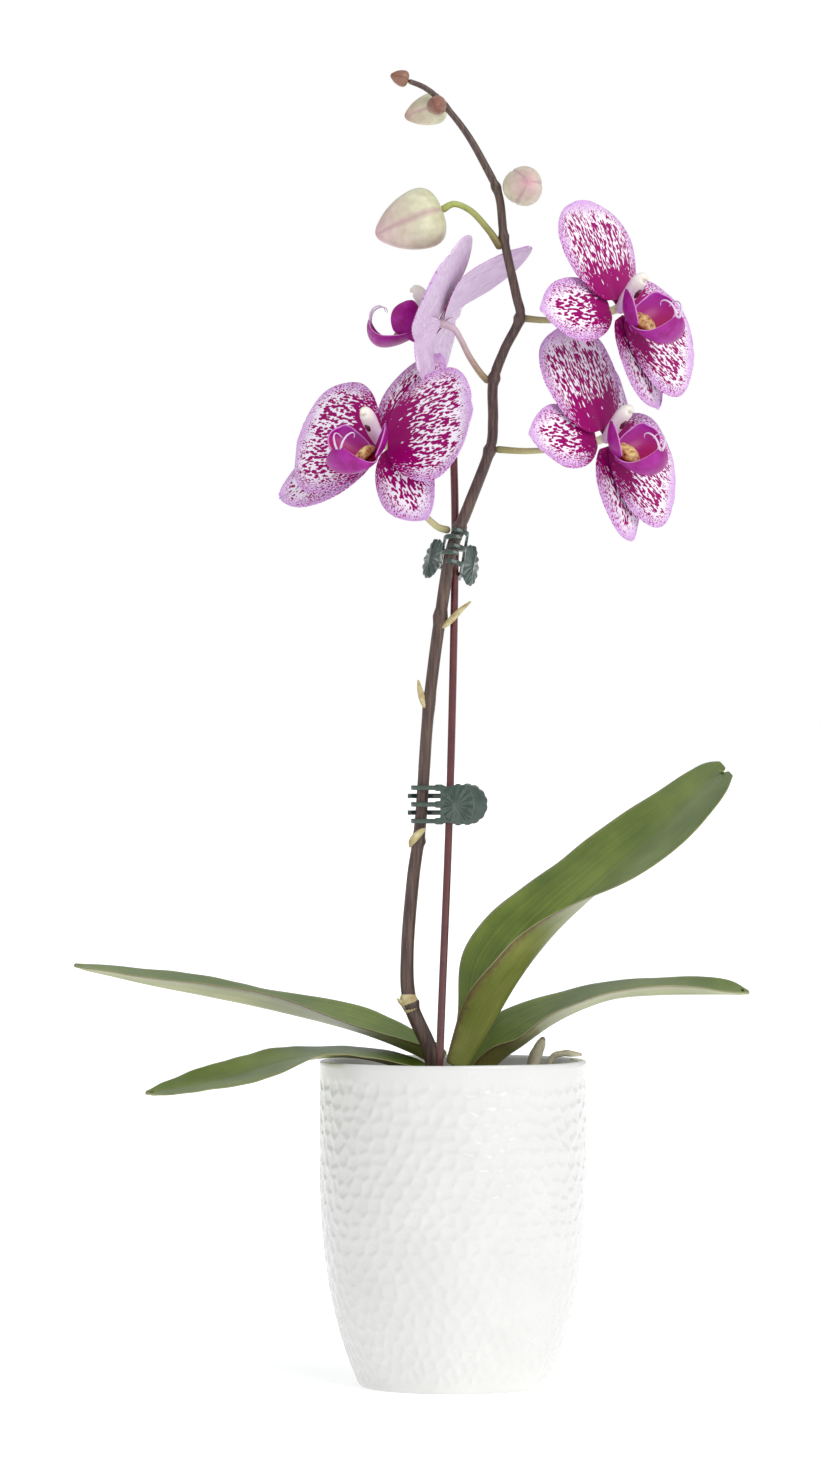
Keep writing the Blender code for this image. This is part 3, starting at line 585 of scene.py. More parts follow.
SPIKE_POINTS = [
    (-9.7, -13, -3.2, 4.0), (-12.5, -13.6, 8, 3.9), (-21.7, -15, 30.6, 3.6),
    (-22.8, -15.5, 55.5, 3.3), (-20, -16, 90.3, 3.2), (-16.2, -16.4, 120.2, 3.0),
    (-11.8, -17.5, 179.9, 3.0), (-3.7, -19, 239.6, 3.1), (0.1, -19.6, 257.5, 3.1),
    (8, -20, 277.3, 2.9), (18.2, -21, 304.2, 2.7), (19.8, -22.5, 319, 2.6),
    (19.9, -25, 337.7, 2.6), (25.3, -29, 353.4, 2.4), (32.9, -32, 369.1, 2.5),
    (31, -34, 380.9, 2.3), (25.2, -37, 407.4, 2.2), (22.5, -38, 429.1, 2.1),
    (15.3, -38.5, 444.9, 1.9), (5.4, -38.5, 461.7, 1.7), (-6.8, -38.5, 476.5, 1.5),
    (-14, -38.5, 482.5, 1.4), (-21.2, -38.5, 485.6, 1.3)]
JOINTS = (28.7, 110, 178, 222, 265.5, 304, 339.5, 369, 409, 433.5, 474)
JOINT_SWELL, SCAR_DEPTH = 0.30, 0.10   # shares of the stem's radius
SCAR_ABOVE = 2.6                       # mm from the middle of a joint to its ring scar


def joint_swell(share, turn, centre):
    high = (centre.z - RIM) / mm
    swell = sum(JOINT_SWELL * math.exp(-((high - j) / 2.0) ** 2)
                - SCAR_DEPTH * math.exp(-((high - j - SCAR_ABOVE) / 0.8) ** 2) for j in JOINTS)
    return swell + 0.03 * noise.noise(Vector((turn, centre.z * 60, 2)))


def ramp(tree, value, *stops):
    """Colours along a value, each stop a place and a colour."""
    made = add_node(tree, "ValToRGB", Fac=value)
    elements = made.color_ramp.elements
    for element, (place, colour) in ((elements[0], stops[0]), (elements[1], stops[-1])):
        element.position = place
        element.color = (*colour, 1)
    for place, colour in stops[1:-1]:
        elements.new(place).color = (*colour, 1)
    return made.outputs["Color"]


spike_skin, tree, shader = surface("spike_bronze", 0.42, IOR=1.45, Coat_Weight=0.15,
                                   Coat_Roughness=0.35)
flecks = patchy(tree, 1, 3, stretch=(900, 900, 60))
paint(tree, shader, ramp(tree, flecks, (0.35, (0.052, 0.028, 0.026)),
                         (0.5, (0.080, 0.046, 0.037)), (0.68, (0.135, 0.082, 0.058))))
grain(tree, shader, 1, 0.35, 0.0004, stretch=(1100, 1100, 160))
spike = tube("bronze_spike", through(above_rim(SPIKE_POINTS), 14), sides=20, ripple=joint_swell)
seat(spike, spike_skin, "spike_brown", "flower_spike")

straw = cloudy_skin("dry_bract", 0.6, 260.0, (0.36, 0.26, 0.12), (0.62, 0.56, 0.30),
                    (1200, 0.4, 0.0003, (1, 1, 0.2)), IOR=1.4)


def flat_bract(share, turn, centre):
    return 0.25 * math.cos(2 * turn)


for name, node, points in (
        ("lower_bract", "spike_bract_lower",
         [(-21.5, -20.2, 107, 0.5), (-20.5, -20.7, 109.5, 1.6), (-18.5, -21.2, 112, 1.9),
          (-16, -21.3, 114.5, 1.5), (-14, -21.4, 116, 0.5)]),
        ("upper_bract", "spike_bract_upper",
         [(-5.0, -20.6, 216.5, 1.0), (-1.2, -21.4, 219.6, 1.5), (3.4, -21.2, 224.4, 1.2),
          (8.4, -20.8, 228.6, 0.5)]),
        ("middle_bract", None,
         [(-12.8, -18.6, 175.5, 1.2), (-14.8, -18.8, 179.5, 1.7), (-16.4, -18.6, 184.5, 1.3),
          (-17.4, -18.2, 189.5, 0.5)])):
    bract = tube(name, through(above_rim(points), 5), ripple=flat_bract)
    seat(bract, straw, "bract_straw", *([node] if node else []))
collar = tube("base_bract", through(above_rim(
    [(-20.8, -15, 26.6, 3.9), (-21.6, -15, 29, 4.5), (-22.3, -15.2, 31.2, 4.2)]), 4))
seat(collar, straw, "bract_straw")
stub = tube("base_bract_stub", through(above_rim(
    [(-24.6, -16.6, 28.4, 1.3), (-26.4, -17.4, 29.9, 1.1), (-27.6, -17.8, 31.2, 0.5)]), 4))
seat(stub, straw, "bract_straw")

# Support stake: a steel wire rod in a glossy maroon plastic coat, cut square at the top. It
# bows a little between the bark and the two clips.

STAKE_POINTS = [(-8, -25.2, -93, 1.9), (-6.75, -24, 0, 1.9), (-1.75, -22.1, 128.5, 1.9),
                (0.9, -14.2, 250, 1.9), (0.3, -11.6, 301, 1.9)]
coat = cloudy_skin("maroon_coat", 0.24, 120.0, (0.075, 0.012, 0.014), (0.125, 0.024, 0.026),
                   (1, 0.15, 0.0003, (600, 600, 30)), Coat_Weight=0.5, Coat_Roughness=0.12,
                   IOR=1.5)
stake = tube("coated_stake", through(above_rim(STAKE_POINTS), 8), sides=24, dome=False)
bpy.ops.object.shade_smooth_by_angle(angle=math.radians(40))
seat(stake, coat, "stake_maroon", "support_stake")

# Clips: two-part sprung clips moulded in dark green plastic, which hold the spike against the
# stake. Fluted thumb pads flare out behind; hooked fingers, three on one jaw and two on the
# other, mesh round the stem. The jaws turn on a steel pin inside a small torsion spring.

JAW_REACH = 18.4 * mm
JAW_SPREAD = 5.4 * mm
JAW_WALL = 1.5 * mm
FINGER_HEIGHT = 2.4 * mm
FINGER_PITCH = 8.3 * mm
FINGER_SWEEP = 125                     # degrees round the stem
FINGER_STEPS = 14
WEB_END = 6 * mm                       # where a finger leaves the web, hidden inside it
PAD_RADIUS = 10 * mm
PAD_FLUTES = 14
PAD_SCALLOPS = 7                       # waves round the edge, each folded into two scallops
LUG_RADIUS = 2.3 * mm
LUG_DEPTH = 2 * mm
MELT = 0.32 * mm                       # grain at which a jaw's parts are melted together
PIN_CLEARANCE = 0.25 * mm
COIL_RADIUS, COIL_HALF = 1.8 * mm, 2.65 * mm
COIL_STEPS, COIL_STEPS_PER_TURN = 72, 24
WIRE_RADIUS = 0.35 * mm
WIRE_LEG = 1.6 * mm
PAD_TILT = 24.5
PAD_PLACE = (-2 * mm, 9.6 * mm)
PIN_RADIUS = 1.0 * mm
PIN_LENGTH = 17 * mm
CLIP_PLACES = {
    "lower_clip": ((2.8 * mm, -21.1 * mm, RIM + 128 * mm), (0, 0, 1), (-0.968, 0.25, 0)),
    "upper_clip": ((-0.6 * mm, -4.8 * mm, RIM + 249.5 * mm), (0.17, 0.30, 0.94), (0, -1, 0)),
}

clip_plastic = cloudy_skin("clip_green", 0.24, 220.0, (0.022, 0.045, 0.032),
                           (0.042, 0.078, 0.058), (1500, 0.15, 0.0002), IOR=1.5,
                           Coat_Weight=0.6, Coat_Roughness=0.1)
steel = cloudy_skin("bright_wire", 0.28, 900.0, (0.42, 0.42, 0.42), (0.62, 0.62, 0.61),
                    (1, 0.2, 0.0002, (300, 300, 4000)), Metallic=1.0)


def bar(low, high):
    """A bar between two corners."""
    pick()
    middle = [(a + b) / 2 for a, b in zip(low, high)]
    bpy.ops.mesh.primitive_cube_add(size=1, location=middle,
                                    scale=[abs(b - a) for a, b in zip(low, high)])
    bpy.ops.object.transform_apply(location=True, rotation=True, scale=True)
    return bpy.context.object


def finger(side, reach, height):
    """A hooked finger: out from the web and part of the way round the stem."""
    turns = [None] + [math.radians(side * (90 - FINGER_SWEEP * k / FINGER_STEPS))
                      for k in range(FINGER_STEPS + 1)]
    made, spots = grid("finger", len(turns) - 1, 4)
    for vert, (u, v) in zip(made.data.vertices, spots):
        a = turns[round(u * (len(turns) - 1))]
        corner = round(v * 4) % 4
        outward = JAW_WALL / 2 * (1 if corner in (0, 1) else -1)
        up = FINGER_HEIGHT / 2 * (1 if corner in (1, 2) else -1)
        if a is None:
            vert.co = (WEB_END, side * (JAW_SPREAD + outward), height + up)
        else:
            far = JAW_SPREAD + outward
            vert.co = (reach + far * math.cos(a), far * math.sin(a), height + up)
    weld(capped=True)
    return made


def thumb_pad(side):
    """A round pad with radiating flutes and a scalloped edge."""
    rings = [(0, 1), (0.25, 1), (0.45, 1), (0.65, 1), (0.85, 0.9), (0.97, 0.55), (1, 0),
             (0.96, -0.7), (0.6, -0.9), (0, -0.9)]

    def point(row, turn):
        share, height = rings[row]
        edge = 1 + 0.05 * abs(math.sin(PAD_SCALLOPS * turn)) ** 0.7 * share ** 3
        front = height > 0.5
        wave = 0.5 + 0.5 * math.cos(PAD_FLUTES * turn)
        flute = 0.75 * mm * wave * min(share * 1.6, 1) * front
        rib = 0.8 * mm * math.exp(-(share * math.cos(turn) * 5.5) ** 2) * front
        r = PAD_RADIUS * share * edge
        y = 0.95 * mm * height * (1.25 - 0.25 * share * share) - flute + rib
        return Vector((r * math.cos(turn), y, r * math.sin(turn)))

    made = lathe("pad", len(rings), 120, point)
    turn = Matrix.Rotation(math.radians(-PAD_TILT), 4, "Z")
    made.data.transform(Matrix.Translation((*PAD_PLACE, 0)) @ turn)
    if side < 0:
        made.data.transform(Matrix.Diagonal((1, -1, 1, 1)))
        made.data.flip_normals()
    return made


def jaw(name, side, fingers, lug, reach, frame_matrix):
    """One moulded jaw: pad, web, fingers and two lugs round the pin, melted into one body."""
    parts = [thumb_pad(side)]
    half = max(fingers) + FINGER_HEIGHT / 2
    inner, outer = side * (JAW_SPREAD - JAW_WALL / 2), side * (JAW_SPREAD + JAW_WALL / 2)
    parts.append(bar((-1.8 * mm, inner, -half + 0.4 * mm), (8.0 * mm, outer, half - 0.4 * mm)))
    for height in fingers:
        parts.append(finger(side, reach, height))
        parts.append(bar((7 * mm, inner, height - 1.7 * mm),
                         (10.5 * mm, outer, height + 1.7 * mm)))
    for end in (-1, 1):
        pick()
        bpy.ops.mesh.primitive_cylinder_add(vertices=32, radius=LUG_RADIUS, depth=LUG_DEPTH,
                                            location=(0, 0, end * lug))
        bpy.ops.object.transform_apply(location=True, rotation=True, scale=True)
        parts.append(bpy.context.object)
        parts.append(bar((-1.4 * mm, side * 0.5 * mm, end * lug - 0.9 * mm),
                         (1.4 * mm, side * (JAW_SPREAD - 0.2 * mm), end * lug + 0.9 * mm)))
    body = join(parts, name)
    bpy.ops.object.shade_smooth()
    settle(body, "REMESH", mode="VOXEL", voxel_size=MELT, use_smooth_shade=True)
    settle(body, "SMOOTH", factor=0.5, iterations=2)
    pick()
    bpy.ops.mesh.primitive_cylinder_add(vertices=32, radius=PIN_RADIUS + PIN_CLEARANCE,
                                        depth=2 * PIN_LENGTH)
    drill = bpy.context.object
    settle(body, "BOOLEAN", operation="DIFFERENCE", object=drill, solver="EXACT")
    bpy.data.objects.remove(drill)
    body.data.transform(frame_matrix)
    return body


for name, (hinge, axis, reach) in CLIP_PLACES.items():
    axis = Vector(axis).normalized()
    reach = Vector(reach)
    reach = (reach - axis * reach.dot(axis)).normalized()
    place = (Matrix.Translation(hinge)
             @ Matrix((reach, axis.cross(reach), axis)).transposed().to_4x4())
    three = jaw(name + "_three_finger_jaw", 1, (-FINGER_PITCH, 0, FINGER_PITCH), 6.7 * mm,
                JAW_REACH, place)
    seat(three, clip_plastic, "clip_green", name + "_three_tooth_jaw")
    two = jaw(name + "_two_finger_jaw", -1, (-FINGER_PITCH / 2, FINGER_PITCH / 2), 4.3 * mm,
              JAW_REACH + 1.6 * mm, place)
    seat(two, clip_plastic, "clip_green", name + "_two_tooth_jaw", body=name + "_jaw")
    half = PIN_LENGTH / 2
    pin = tube(name + "_pin", [
        (*(place @ Vector((0, 0, z))), PIN_RADIUS * r) for z, r in
        ((-half, 0.8), (-half + 0.2 * mm, 1), (0, 1), (half - 0.2 * mm, 1), (half, 0.8))],
        dome=False)
    seat(pin, steel, "spring_steel", name + "_hinge_pin")
    wire = [(-WIRE_LEG, COIL_RADIUS, -COIL_HALF)]
    for k in range(COIL_STEPS + 1):
        a = math.radians(90) - math.tau * k / COIL_STEPS_PER_TURN
        wire.append((COIL_RADIUS * math.cos(a), COIL_RADIUS * math.sin(a),
                     COIL_HALF * (2 * k / COIL_STEPS - 1)))
    wire.append((WIRE_LEG, COIL_RADIUS, COIL_HALF))
    spring = tube(name + "_coil", [(*(place @ Vector(p)), WIRE_RADIUS) for p in wire], sides=8)
    seat(spring, steel, "spring_steel", name + "_spring")

# Flowers: moth orchid blooms, waxy and velvety. Three sepals stand behind two broad petals,
# all pale lilac with magenta spots that run together at the foot; in front stand the lip, with
# its two raised lobes, its keeled middle lobe and two tendrils, and the white-capped column.

PETAL_LENGTH, PETAL_WIDTH = 48, 56
SEPAL_LENGTH, SEPAL_WIDTH = 46, 30
FLESH = 0.8 * mm
FLOWERS = {
    "lower_left_flower": ((-35.9, -32, 307.7), -38, 21, 6, 1.09,
                          {"left_petal": (-90, 0, 0.98), "right_petal": (69, 3, 1.04)},
                          {"dorsal_sepal": (7, -12, 1.04), "left_sepal": (-118, -4, 1.3),
                           "right_sepal": (133, -8, 0.95)}),
    "upper_left_flower": ((-8.1, -16, 368.1), -98, 30, 2, 1.08,
                          {"left_petal": (-84, 0, 1.0), "right_petal": (58, 5, 1.05)},
                          {"dorsal_sepal": (1, -21, 1.07, -22), "left_sepal": (-119, -8, 0.98),
                           "right_sepal": (131, -10, 0.7, 35)}),
    "upper_right_flower": ((81.7, -44, 373.3), 54, 19, 40, 1.14,
                           {"left_petal": (-45, -1, 1.0), "right_petal": (76, 1, 1.02)},
                           {"dorsal_sepal": (0, -8, 1.0), "left_sepal": (-130, -7, 1.0),
                            "right_sepal": (117, -5, 0.98)}),
    "lower_right_flower": ((75, -36, 309.5), 52, 17, 42, 1.12,
                           {"left_petal": (-55, -1, 1.05), "right_petal": (77, -1, 1.0)},
                           {"dorsal_sepal": (0, -8, 1.0), "left_sepal": (-129, -6, 0.94),
                            "right_sepal": (125, -5, 0.96)}),
}

# One group makes the spots for petals and sepals. The first map holds the distance from the
# foot and the place round it; the "fade" map holds how far the foot and the margin are.
spot_group, spot_in, spot_out = new_group(
    "spots", {"Streak": 1.0, "Crowding": 0.5, "Ground": (0.8, 0.7, 0.85, 1.0),
              "Margin": (0.6, 0.35, 0.65, 1.0), "Spot": (0.26, 0.0, 0.10, 1.0)},
    {"Color": "NodeSocketColor", "Spots": "NodeSocketFloat"})
toned = spot_in.outputs
along, inward = uv_parts(spot_group, "fade")
streak = add_node(spot_group, "CombineXYZ", X=toned["Streak"], Y=1.0).outputs["Vector"]
spots_at = add_node(spot_group, "VectorMath", operation="MULTIPLY")
feed(spot_group, add_node(spot_group, "UVMap", uv_map="UVMap").outputs["UV"], spots_at.inputs[0])
feed(spot_group, streak, spots_at.inputs[1])
spots_at = spots_at.outputs["Vector"]
blot = add_node(spot_group, "TexNoise", noise_dimensions="2D", Vector=spots_at, Scale=3.4,
                Detail=2.5, Roughness=0.55).outputs["Fac"]


def dots(scale, reach, blot_share, dot_share):
    """Round dots of one size, run together by the blots."""
    cells = add_node(spot_group, "TexVoronoi", voronoi_dimensions="2D", Vector=spots_at,
                     Scale=scale)
    dot = calc(spot_group, "SUBTRACT", reach, cells.outputs["Distance"])
    return calc(spot_group, "ADD", calc(spot_group, "MULTIPLY", blot, blot_share),
                calc(spot_group, "MULTIPLY", dot, dot_share))


def from_margin(start, end, low, high):
    """A share that changes smoothly inwards from the margin."""
    return remap(spot_group, inward, (start, end), (low, high), "SMOOTHSTEP")


strength = add_node(spot_group, "Mix", Factor=from_margin(0.15, 0.65, 1.0, 0.0),
                    A=dots(6.6, 0.75, 1.05, 0.62), B=dots(12.5, 0.74, 0.5, 1.15))
limit = add_node(spot_group, "FloatCurve", Value=along)
limit_curve = limit.mapping.curves[0]
limit_curve.points[0].location = (0.0, 0.10)
limit_curve.points[1].location = (1.0, 0.98)
for place in ((0.22, 0.52), (0.38, 0.76), (0.75, 0.83), (0.9, 0.93)):
    limit_curve.points.new(*place)
limit.mapping.update()
raised = calc(spot_group, "ADD", limit.outputs["Value"], from_margin(0.02, 0.34, 0.10, 0.0))
threshold = calc(spot_group, "ADD", raised, calc(spot_group, "SUBTRACT", 0.5, toned["Crowding"]))
spot_mask = remap(spot_group, calc(spot_group, "SUBTRACT", strength.outputs["Result"], threshold),
                  (-0.018, 0.018), (0, 1), "SMOOTHSTEP")
ground = mix_colours(spot_group, from_margin(0.0, 0.55, 1.0, 0.0), toned["Ground"],
                     toned["Margin"])
feed(spot_group, mix_colours(spot_group, spot_mask, ground, toned["Spot"]),
     spot_out.inputs["Color"])
feed(spot_group, spot_mask, spot_out.inputs["Spots"])


def petal_skin(name, streak, crowding, ground, margin, spot):
    """Velvety petal surface with the spots on it."""
    made, tree, shader = surface(name, 0.5, Specular_IOR_Level=0.12)
    spots = add_node(tree, "Group", node_tree=spot_group, Streak=streak, Crowding=crowding,
                     Ground=(*ground, 1), Margin=(*margin, 1), Spot=(*spot, 1)).outputs
    paint(tree, shader, spots["Color"])
    feed(tree, remap(tree, spots["Spots"], (0, 1), (0.52, 0.40)), shader.inputs["Roughness"])
    grain(tree, shader, 2200, 0.12, 0.0002)
    return made


petal_front = petal_skin("petal_front", 0.52, 0.61, (0.88, 0.80, 0.90), (0.64, 0.38, 0.71),
                         (0.30, 0.0, 0.13))
sepal_front = petal_skin("sepal_front", 0.52, 0.60, (0.88, 0.79, 0.90), (0.62, 0.36, 0.69),
                         (0.30, 0.0, 0.13))

petal_back, tree, shader = surface("petal_back", 0.5, Specular_IOR_Level=0.3,
                                   Subsurface_Weight=0.05, Subsurface_Scale=0.4,
                                   Subsurface_Radius=(0.004, 0.002, 0.003))
lines = patchy(tree, 5, 2, stretch=(0.35, 11, 1), uv=True, noise_dimensions="2D")
paint(tree, shader, ramp(tree, lines, (0.35, (0.54, 0.32, 0.58)), (0.62, (0.84, 0.74, 0.86))))
relief(tree, shader, lines, 0.3, 0.0004)


def lay_maps(piece, spots_at, fade_at):
    """Write the first map and the fade map, point by point."""
    first = piece.data.uv_layers[0]
    first.name = "UVMap"
    second = piece.data.uv_layers.new(name="fade")
    for loop in piece.data.loops:
        first.data[loop.index].uv = spots_at[loop.vertex_index]
        second.data[loop.index].uv = fade_at[loop.vertex_index]
    piece.data.uv_layers.active = first


BLADE_START, BLADE_END = 0.02, 0.995   # shares of a blade's length where its sheet begins and ends
TWIST_DONE = 0.4                       # share of the length over which a blade takes its twist
RECEPTACLE = 2.8                       # mm from a flower's middle to a blade's foot
ROOT = 7.0                             # mm behind the foot from which the spots fan out
KINDS = {              # length, width, set back, foot, taper, round end, rows and columns
    "petal": (PETAL_LENGTH, PETAL_WIDTH, 0, 0.50, 0.38, 0.03, 18, 14),
    "sepal": (SEPAL_LENGTH, SEPAL_WIDTH, 2.4, 0.58, 0.60, 0.02, 16, 10),
}


def flesh_out(sheet, thickness):
    """Smooth a sheet and give it thickness, its second material behind."""
    settle(sheet, "SUBSURF", levels=1, render_levels=1)
    settle(sheet, "SOLIDIFY", thickness=thickness, offset=0, material_offset=1,
           material_offset_rim=0)
    settle(sheet, "SUBSURF", levels=1, render_levels=1)


def blade_piece(name, kind, direction, lean, share, size, stand, seed, twist=0):
    """A petal or sepal, spread from its foot; direction is clockwise from the top."""
    length, width, back, foot, taper, round_end, rows, columns = KINDS[kind]
    length *= share
    a = math.radians(direction)
    out = Vector((math.sin(a), 0, math.cos(a)))
    widest = foot / (foot + taper)
    full = widest ** foot * (1 - widest) ** taper
    made, spots = grid(name, rows, columns)
    spots_at, fade_at = [], []
    for vert, (u, v) in zip(made.data.vertices, spots):
        u = BLADE_START + (BLADE_END - BLADE_START) * (1 - math.cos(math.pi * u)) / 2
        v = 2 * v - 1
        swell = u ** foot * (1 - u) ** taper / full
        reach = length * u * (1 - round_end * v * v * u)
        forward = math.tan(math.radians(lean)) * reach * u ** 0.6
        wavy = 1 + 0.03 * math.sin(7 * u + seed) * (1 if v > 0 else -0.7)
        across = v * swell * wavy * width / 2
        turn = math.radians(twist) * min(u / TWIST_DONE, 1)
        side = Vector((math.cos(a), 0, -math.sin(a))) * math.cos(turn)
        side.y = math.sin(turn)
        spot = out * (RECEPTACLE + reach) + side * across
        bulge = (1.8 * (1 - v * v) * math.sin(math.pi * min(u * 1.1, 1))
                 - 0.5 * math.exp(-(v * 7) ** 2))
        ripple = 1.1 * noise.noise(Vector((u * 2.6, v * 1.7, seed))) * abs(v) * u * 2
        curl = 1.6 * max(0, abs(v) - 0.75) * 4 * u * noise.noise(Vector((u * 3, seed, 5)))
        spot.y += back - forward - bulge + ripple + curl
        vert.co = stand @ (spot * (mm * size))
        away = math.hypot(reach + ROOT, across)
        round_foot = math.atan2(across, reach + ROOT)
        spots_at.append((away / 10, round_foot * (1.5 + away * 0.085)))
        to_side = (1 - abs(v)) * swell * width / 2
        to_end = (1 - u) * length * 0.9
        fade_at.append((min(reach / length, 1), min(min(to_side, to_end) / 16, 1)))
    lay_maps(made, spots_at, fade_at)
    made.data.materials.append(petal_front if kind == "petal" else sepal_front)
    made.data.materials.append(petal_back)
    face(made, rows * columns // 2, stand.to_3x3() @ Vector((0, -1, 0)))
    flesh_out(made, FLESH * 0.8)
    bpy.ops.object.shade_smooth()
    return made


LOBE_HEIGHT, LOBE_HALF, LOBE_CUP = 18.0, 11.0, 3.6     # a side lobe, mm
TONGUE = [                             # y, height, half width, curl of the sides (mm)
    (-3.5, -7.5, 3.2, 1.0), (-7, -12.8, 6.2, 3.0), (-11, -18.2, 9.8, 4.6),
    (-15.5, -22.0, 12.0, 5.4), (-19.5, -23.2, 11.6, 5.2), (-23.5, -21.8, 9.0, 4.2),
    (-26.5, -18.4, 5.2, 2.6), (-27.6, -15.4, 2.4, 1.0)]
TONGUE_BEND = math.radians(70)
TENDRIL = [(1.0, -27.0, -15.2, 0.62), (2.2, -28.4, -12.4, 0.5), (3.6, -28.4, -9.2, 0.42),
           (4.6, -26.6, -6.8, 0.34), (4.4, -24.2, -6.4, 0.26), (3.4, -22.8, -7.6, 0.16)]

CALLUS = [(-4.6, -5.6, 1.6), (-7.0, -7.2, 2.8), (-9.6, -9.8, 3.4), (-12.0, -13.2, 2.8),
          (-13.6, -16.2, 1.3)]         # y, z, radius (mm), as are the next two
COLUMN = [(-0.6, -0.6, 2.2), (-3, 0.9, 2.9), (-6, 2.7, 3.3), (-9, 4.6, 3.4), (-12, 6.4, 3.5),
          (-14.6, 7.6, 3.2), (-16.4, 7.8, 2.4), (-17.4, 7.0, 1.2)]
STIGMA = [(-8.0, 1.6, 0.7), (-9.4, 2.2, 1.5), (-11.0, 3.1, 1.8), (-12.6, 4.2, 1.4),
          (-13.4, 4.9, 0.6)]

lip_shade, tree, shader = surface("lip_magenta", 0.38, IOR=1.4, Coat_Weight=0.15,
                                  Coat_Roughness=0.3, Subsurface_Weight=0.1,
                                  Subsurface_Radius=(0.003, 0.001, 0.002),
                                  Subsurface_Scale=0.4)
outwards, inwards = uv_parts(tree, "fade")
stray = calc(tree, "MULTIPLY", calc(tree, "SUBTRACT", patchy(tree, 330, 2), 0.5), 0.22)
shades = ramp(tree, calc(tree, "ADD", outwards, stray), (0, (0.52, 0.40, 0.50)),
              (0.10, (0.34, 0.01, 0.04)), (0.26, (0.36, 0.0, 0.06)), (0.52, (0.38, 0.0, 0.16)),
              (0.80, (0.38, 0.0, 0.30)), (1, (0.36, 0.01, 0.40)))
pale_edge = remap(tree, inwards, (0.02, 0.07), (0.75, 0.0), "SMOOTHSTEP")
paint(tree, shader, mix_colours(tree, pale_edge, shades, (0.72, 0.30, 0.72, 1)))
grain(tree, shader, 1600, 0.15, 0.0002)

lip_under = cloudy_skin("lip_underside", 0.45, 240.0, (0.25, 0.0, 0.14), (0.36, 0.01, 0.30),
                        (1600, 0.15, 0.0002), IOR=1.4)
callus_yellow = cloudy_skin("callus_yellow", 0.4, 420.0, (0.30, 0.01, 0.02),
                            (0.86, 0.66, 0.24), (1500, 0.2, 0.0002), IOR=1.4, Coat_Weight=0.2)
# Stigma: its own dark wet colour, deepened into painted shade standing in for the uncut hollow
# under the column's tip.
stigma_with_painted_shade = cloudy_skin("stigma_with_painted_shade", 0.25, 500.0, (0.05, 0.003, 0.02), (0.16, 0.01, 0.06),
                          (1500, 0.2, 0.0002), IOR=1.45, Coat_Weight=0.4)

column_white, tree, shader = surface("column_white", 0.36, IOR=1.4, Coat_Weight=0.2,
                                     Coat_Roughness=0.2, Subsurface_Weight=0.12,
                                     Subsurface_Radius=(0.003, 0.002, 0.002),
                                     Subsurface_Scale=0.4)
paint(tree, shader, ramp(tree, uv_parts(tree)[0], (0, (0.60, 0.30, 0.60)),
                         (0.35, (0.74, 0.58, 0.74)), (0.62, (0.82, 0.76, 0.74)),
                         (0.85, (0.86, 0.83, 0.74)), (1, (0.78, 0.74, 0.58))))
grain(tree, shader, 900, 0.1, 0.0002)


def lip_sheet(name, rows, columns, place, fade_of, stand, size):
    """A thin curved part of the lip."""
    made, spots = grid(name, rows, columns)
    fades = []
    for vert, (u, v) in zip(made.data.vertices, spots):
        v = 2 * v - 1
        vert.co = stand @ (place(u, v) * (mm * size))
        fades.append(fade_of(u, v))
    lay_maps(made, fades, fades)
    made.data.materials.append(lip_shade)
    made.data.materials.append(lip_under)
    return made


def lobe(hand, u, v):
    """A point of a raised side lobe, which cups inwards."""
    half = LOBE_HALF * math.sin(math.pi * (0.16 + 0.80 * u)) ** 0.6
    tall = LOBE_HEIGHT * (u - 0.10 * u * v * v)
    cup = LOBE_CUP * (math.sin(math.pi * u) * (1 - v * v) - 0.5)
    spread = v * half
    return Vector((hand * (6.8 + 0.30 * tall + 0.74 * spread + 0.72 * cup),
                   -8.0 - 0.22 * tall - 0.68 * spread + 0.60 * cup, -13.5 + 0.94 * tall))


def lobe_fade(u, v):
    return 0.30 + 0.62 * u ** 1.2, min((1 - abs(v)) * 1.2, (1 - u) * 1.6, 1)


tongue_rows = through(TONGUE, 3)


def tongue(u, v):
    """A point of the middle lobe, its sides curled up."""
    y, low, half, curl = tongue_rows[round(u * (len(tongue_rows) - 1))]
    a = v * TONGUE_BEND
    return Vector((half * math.sin(a) / math.sin(TONGUE_BEND), y,
                   low + curl * (1 - math.cos(a)) / (1 - math.cos(TONGUE_BEND))))


def tongue_fade(u, v):
    return min(0.05 + 0.45 * u + 0.55 * abs(v) ** 2.2, 1), min((1 - abs(v)) * 1.1, 1)


def flower_tube(name, points, stand, size, **options):
    """A tube along points given in a flower's own millimetres."""
    return tube(name, [(*(stand @ (Vector(p[:3]) * (mm * size))), p[3] * mm * size)
                       for p in points], **options)


def middle_tube(name, points, stand, size, **options):
    """A tube along the flower's middle, from (y, z, radius)."""
    return flower_tube(name, [(0, *p) for p in points], stand, size, **options)


def callus_ridges(share, turn, centre):
    return 0.18 * math.cos(2 * turn) + 0.12 * noise.noise(centre * 600)


def flat_column(share, turn, centre):
    return 0.05 * math.cos(2 * turn)


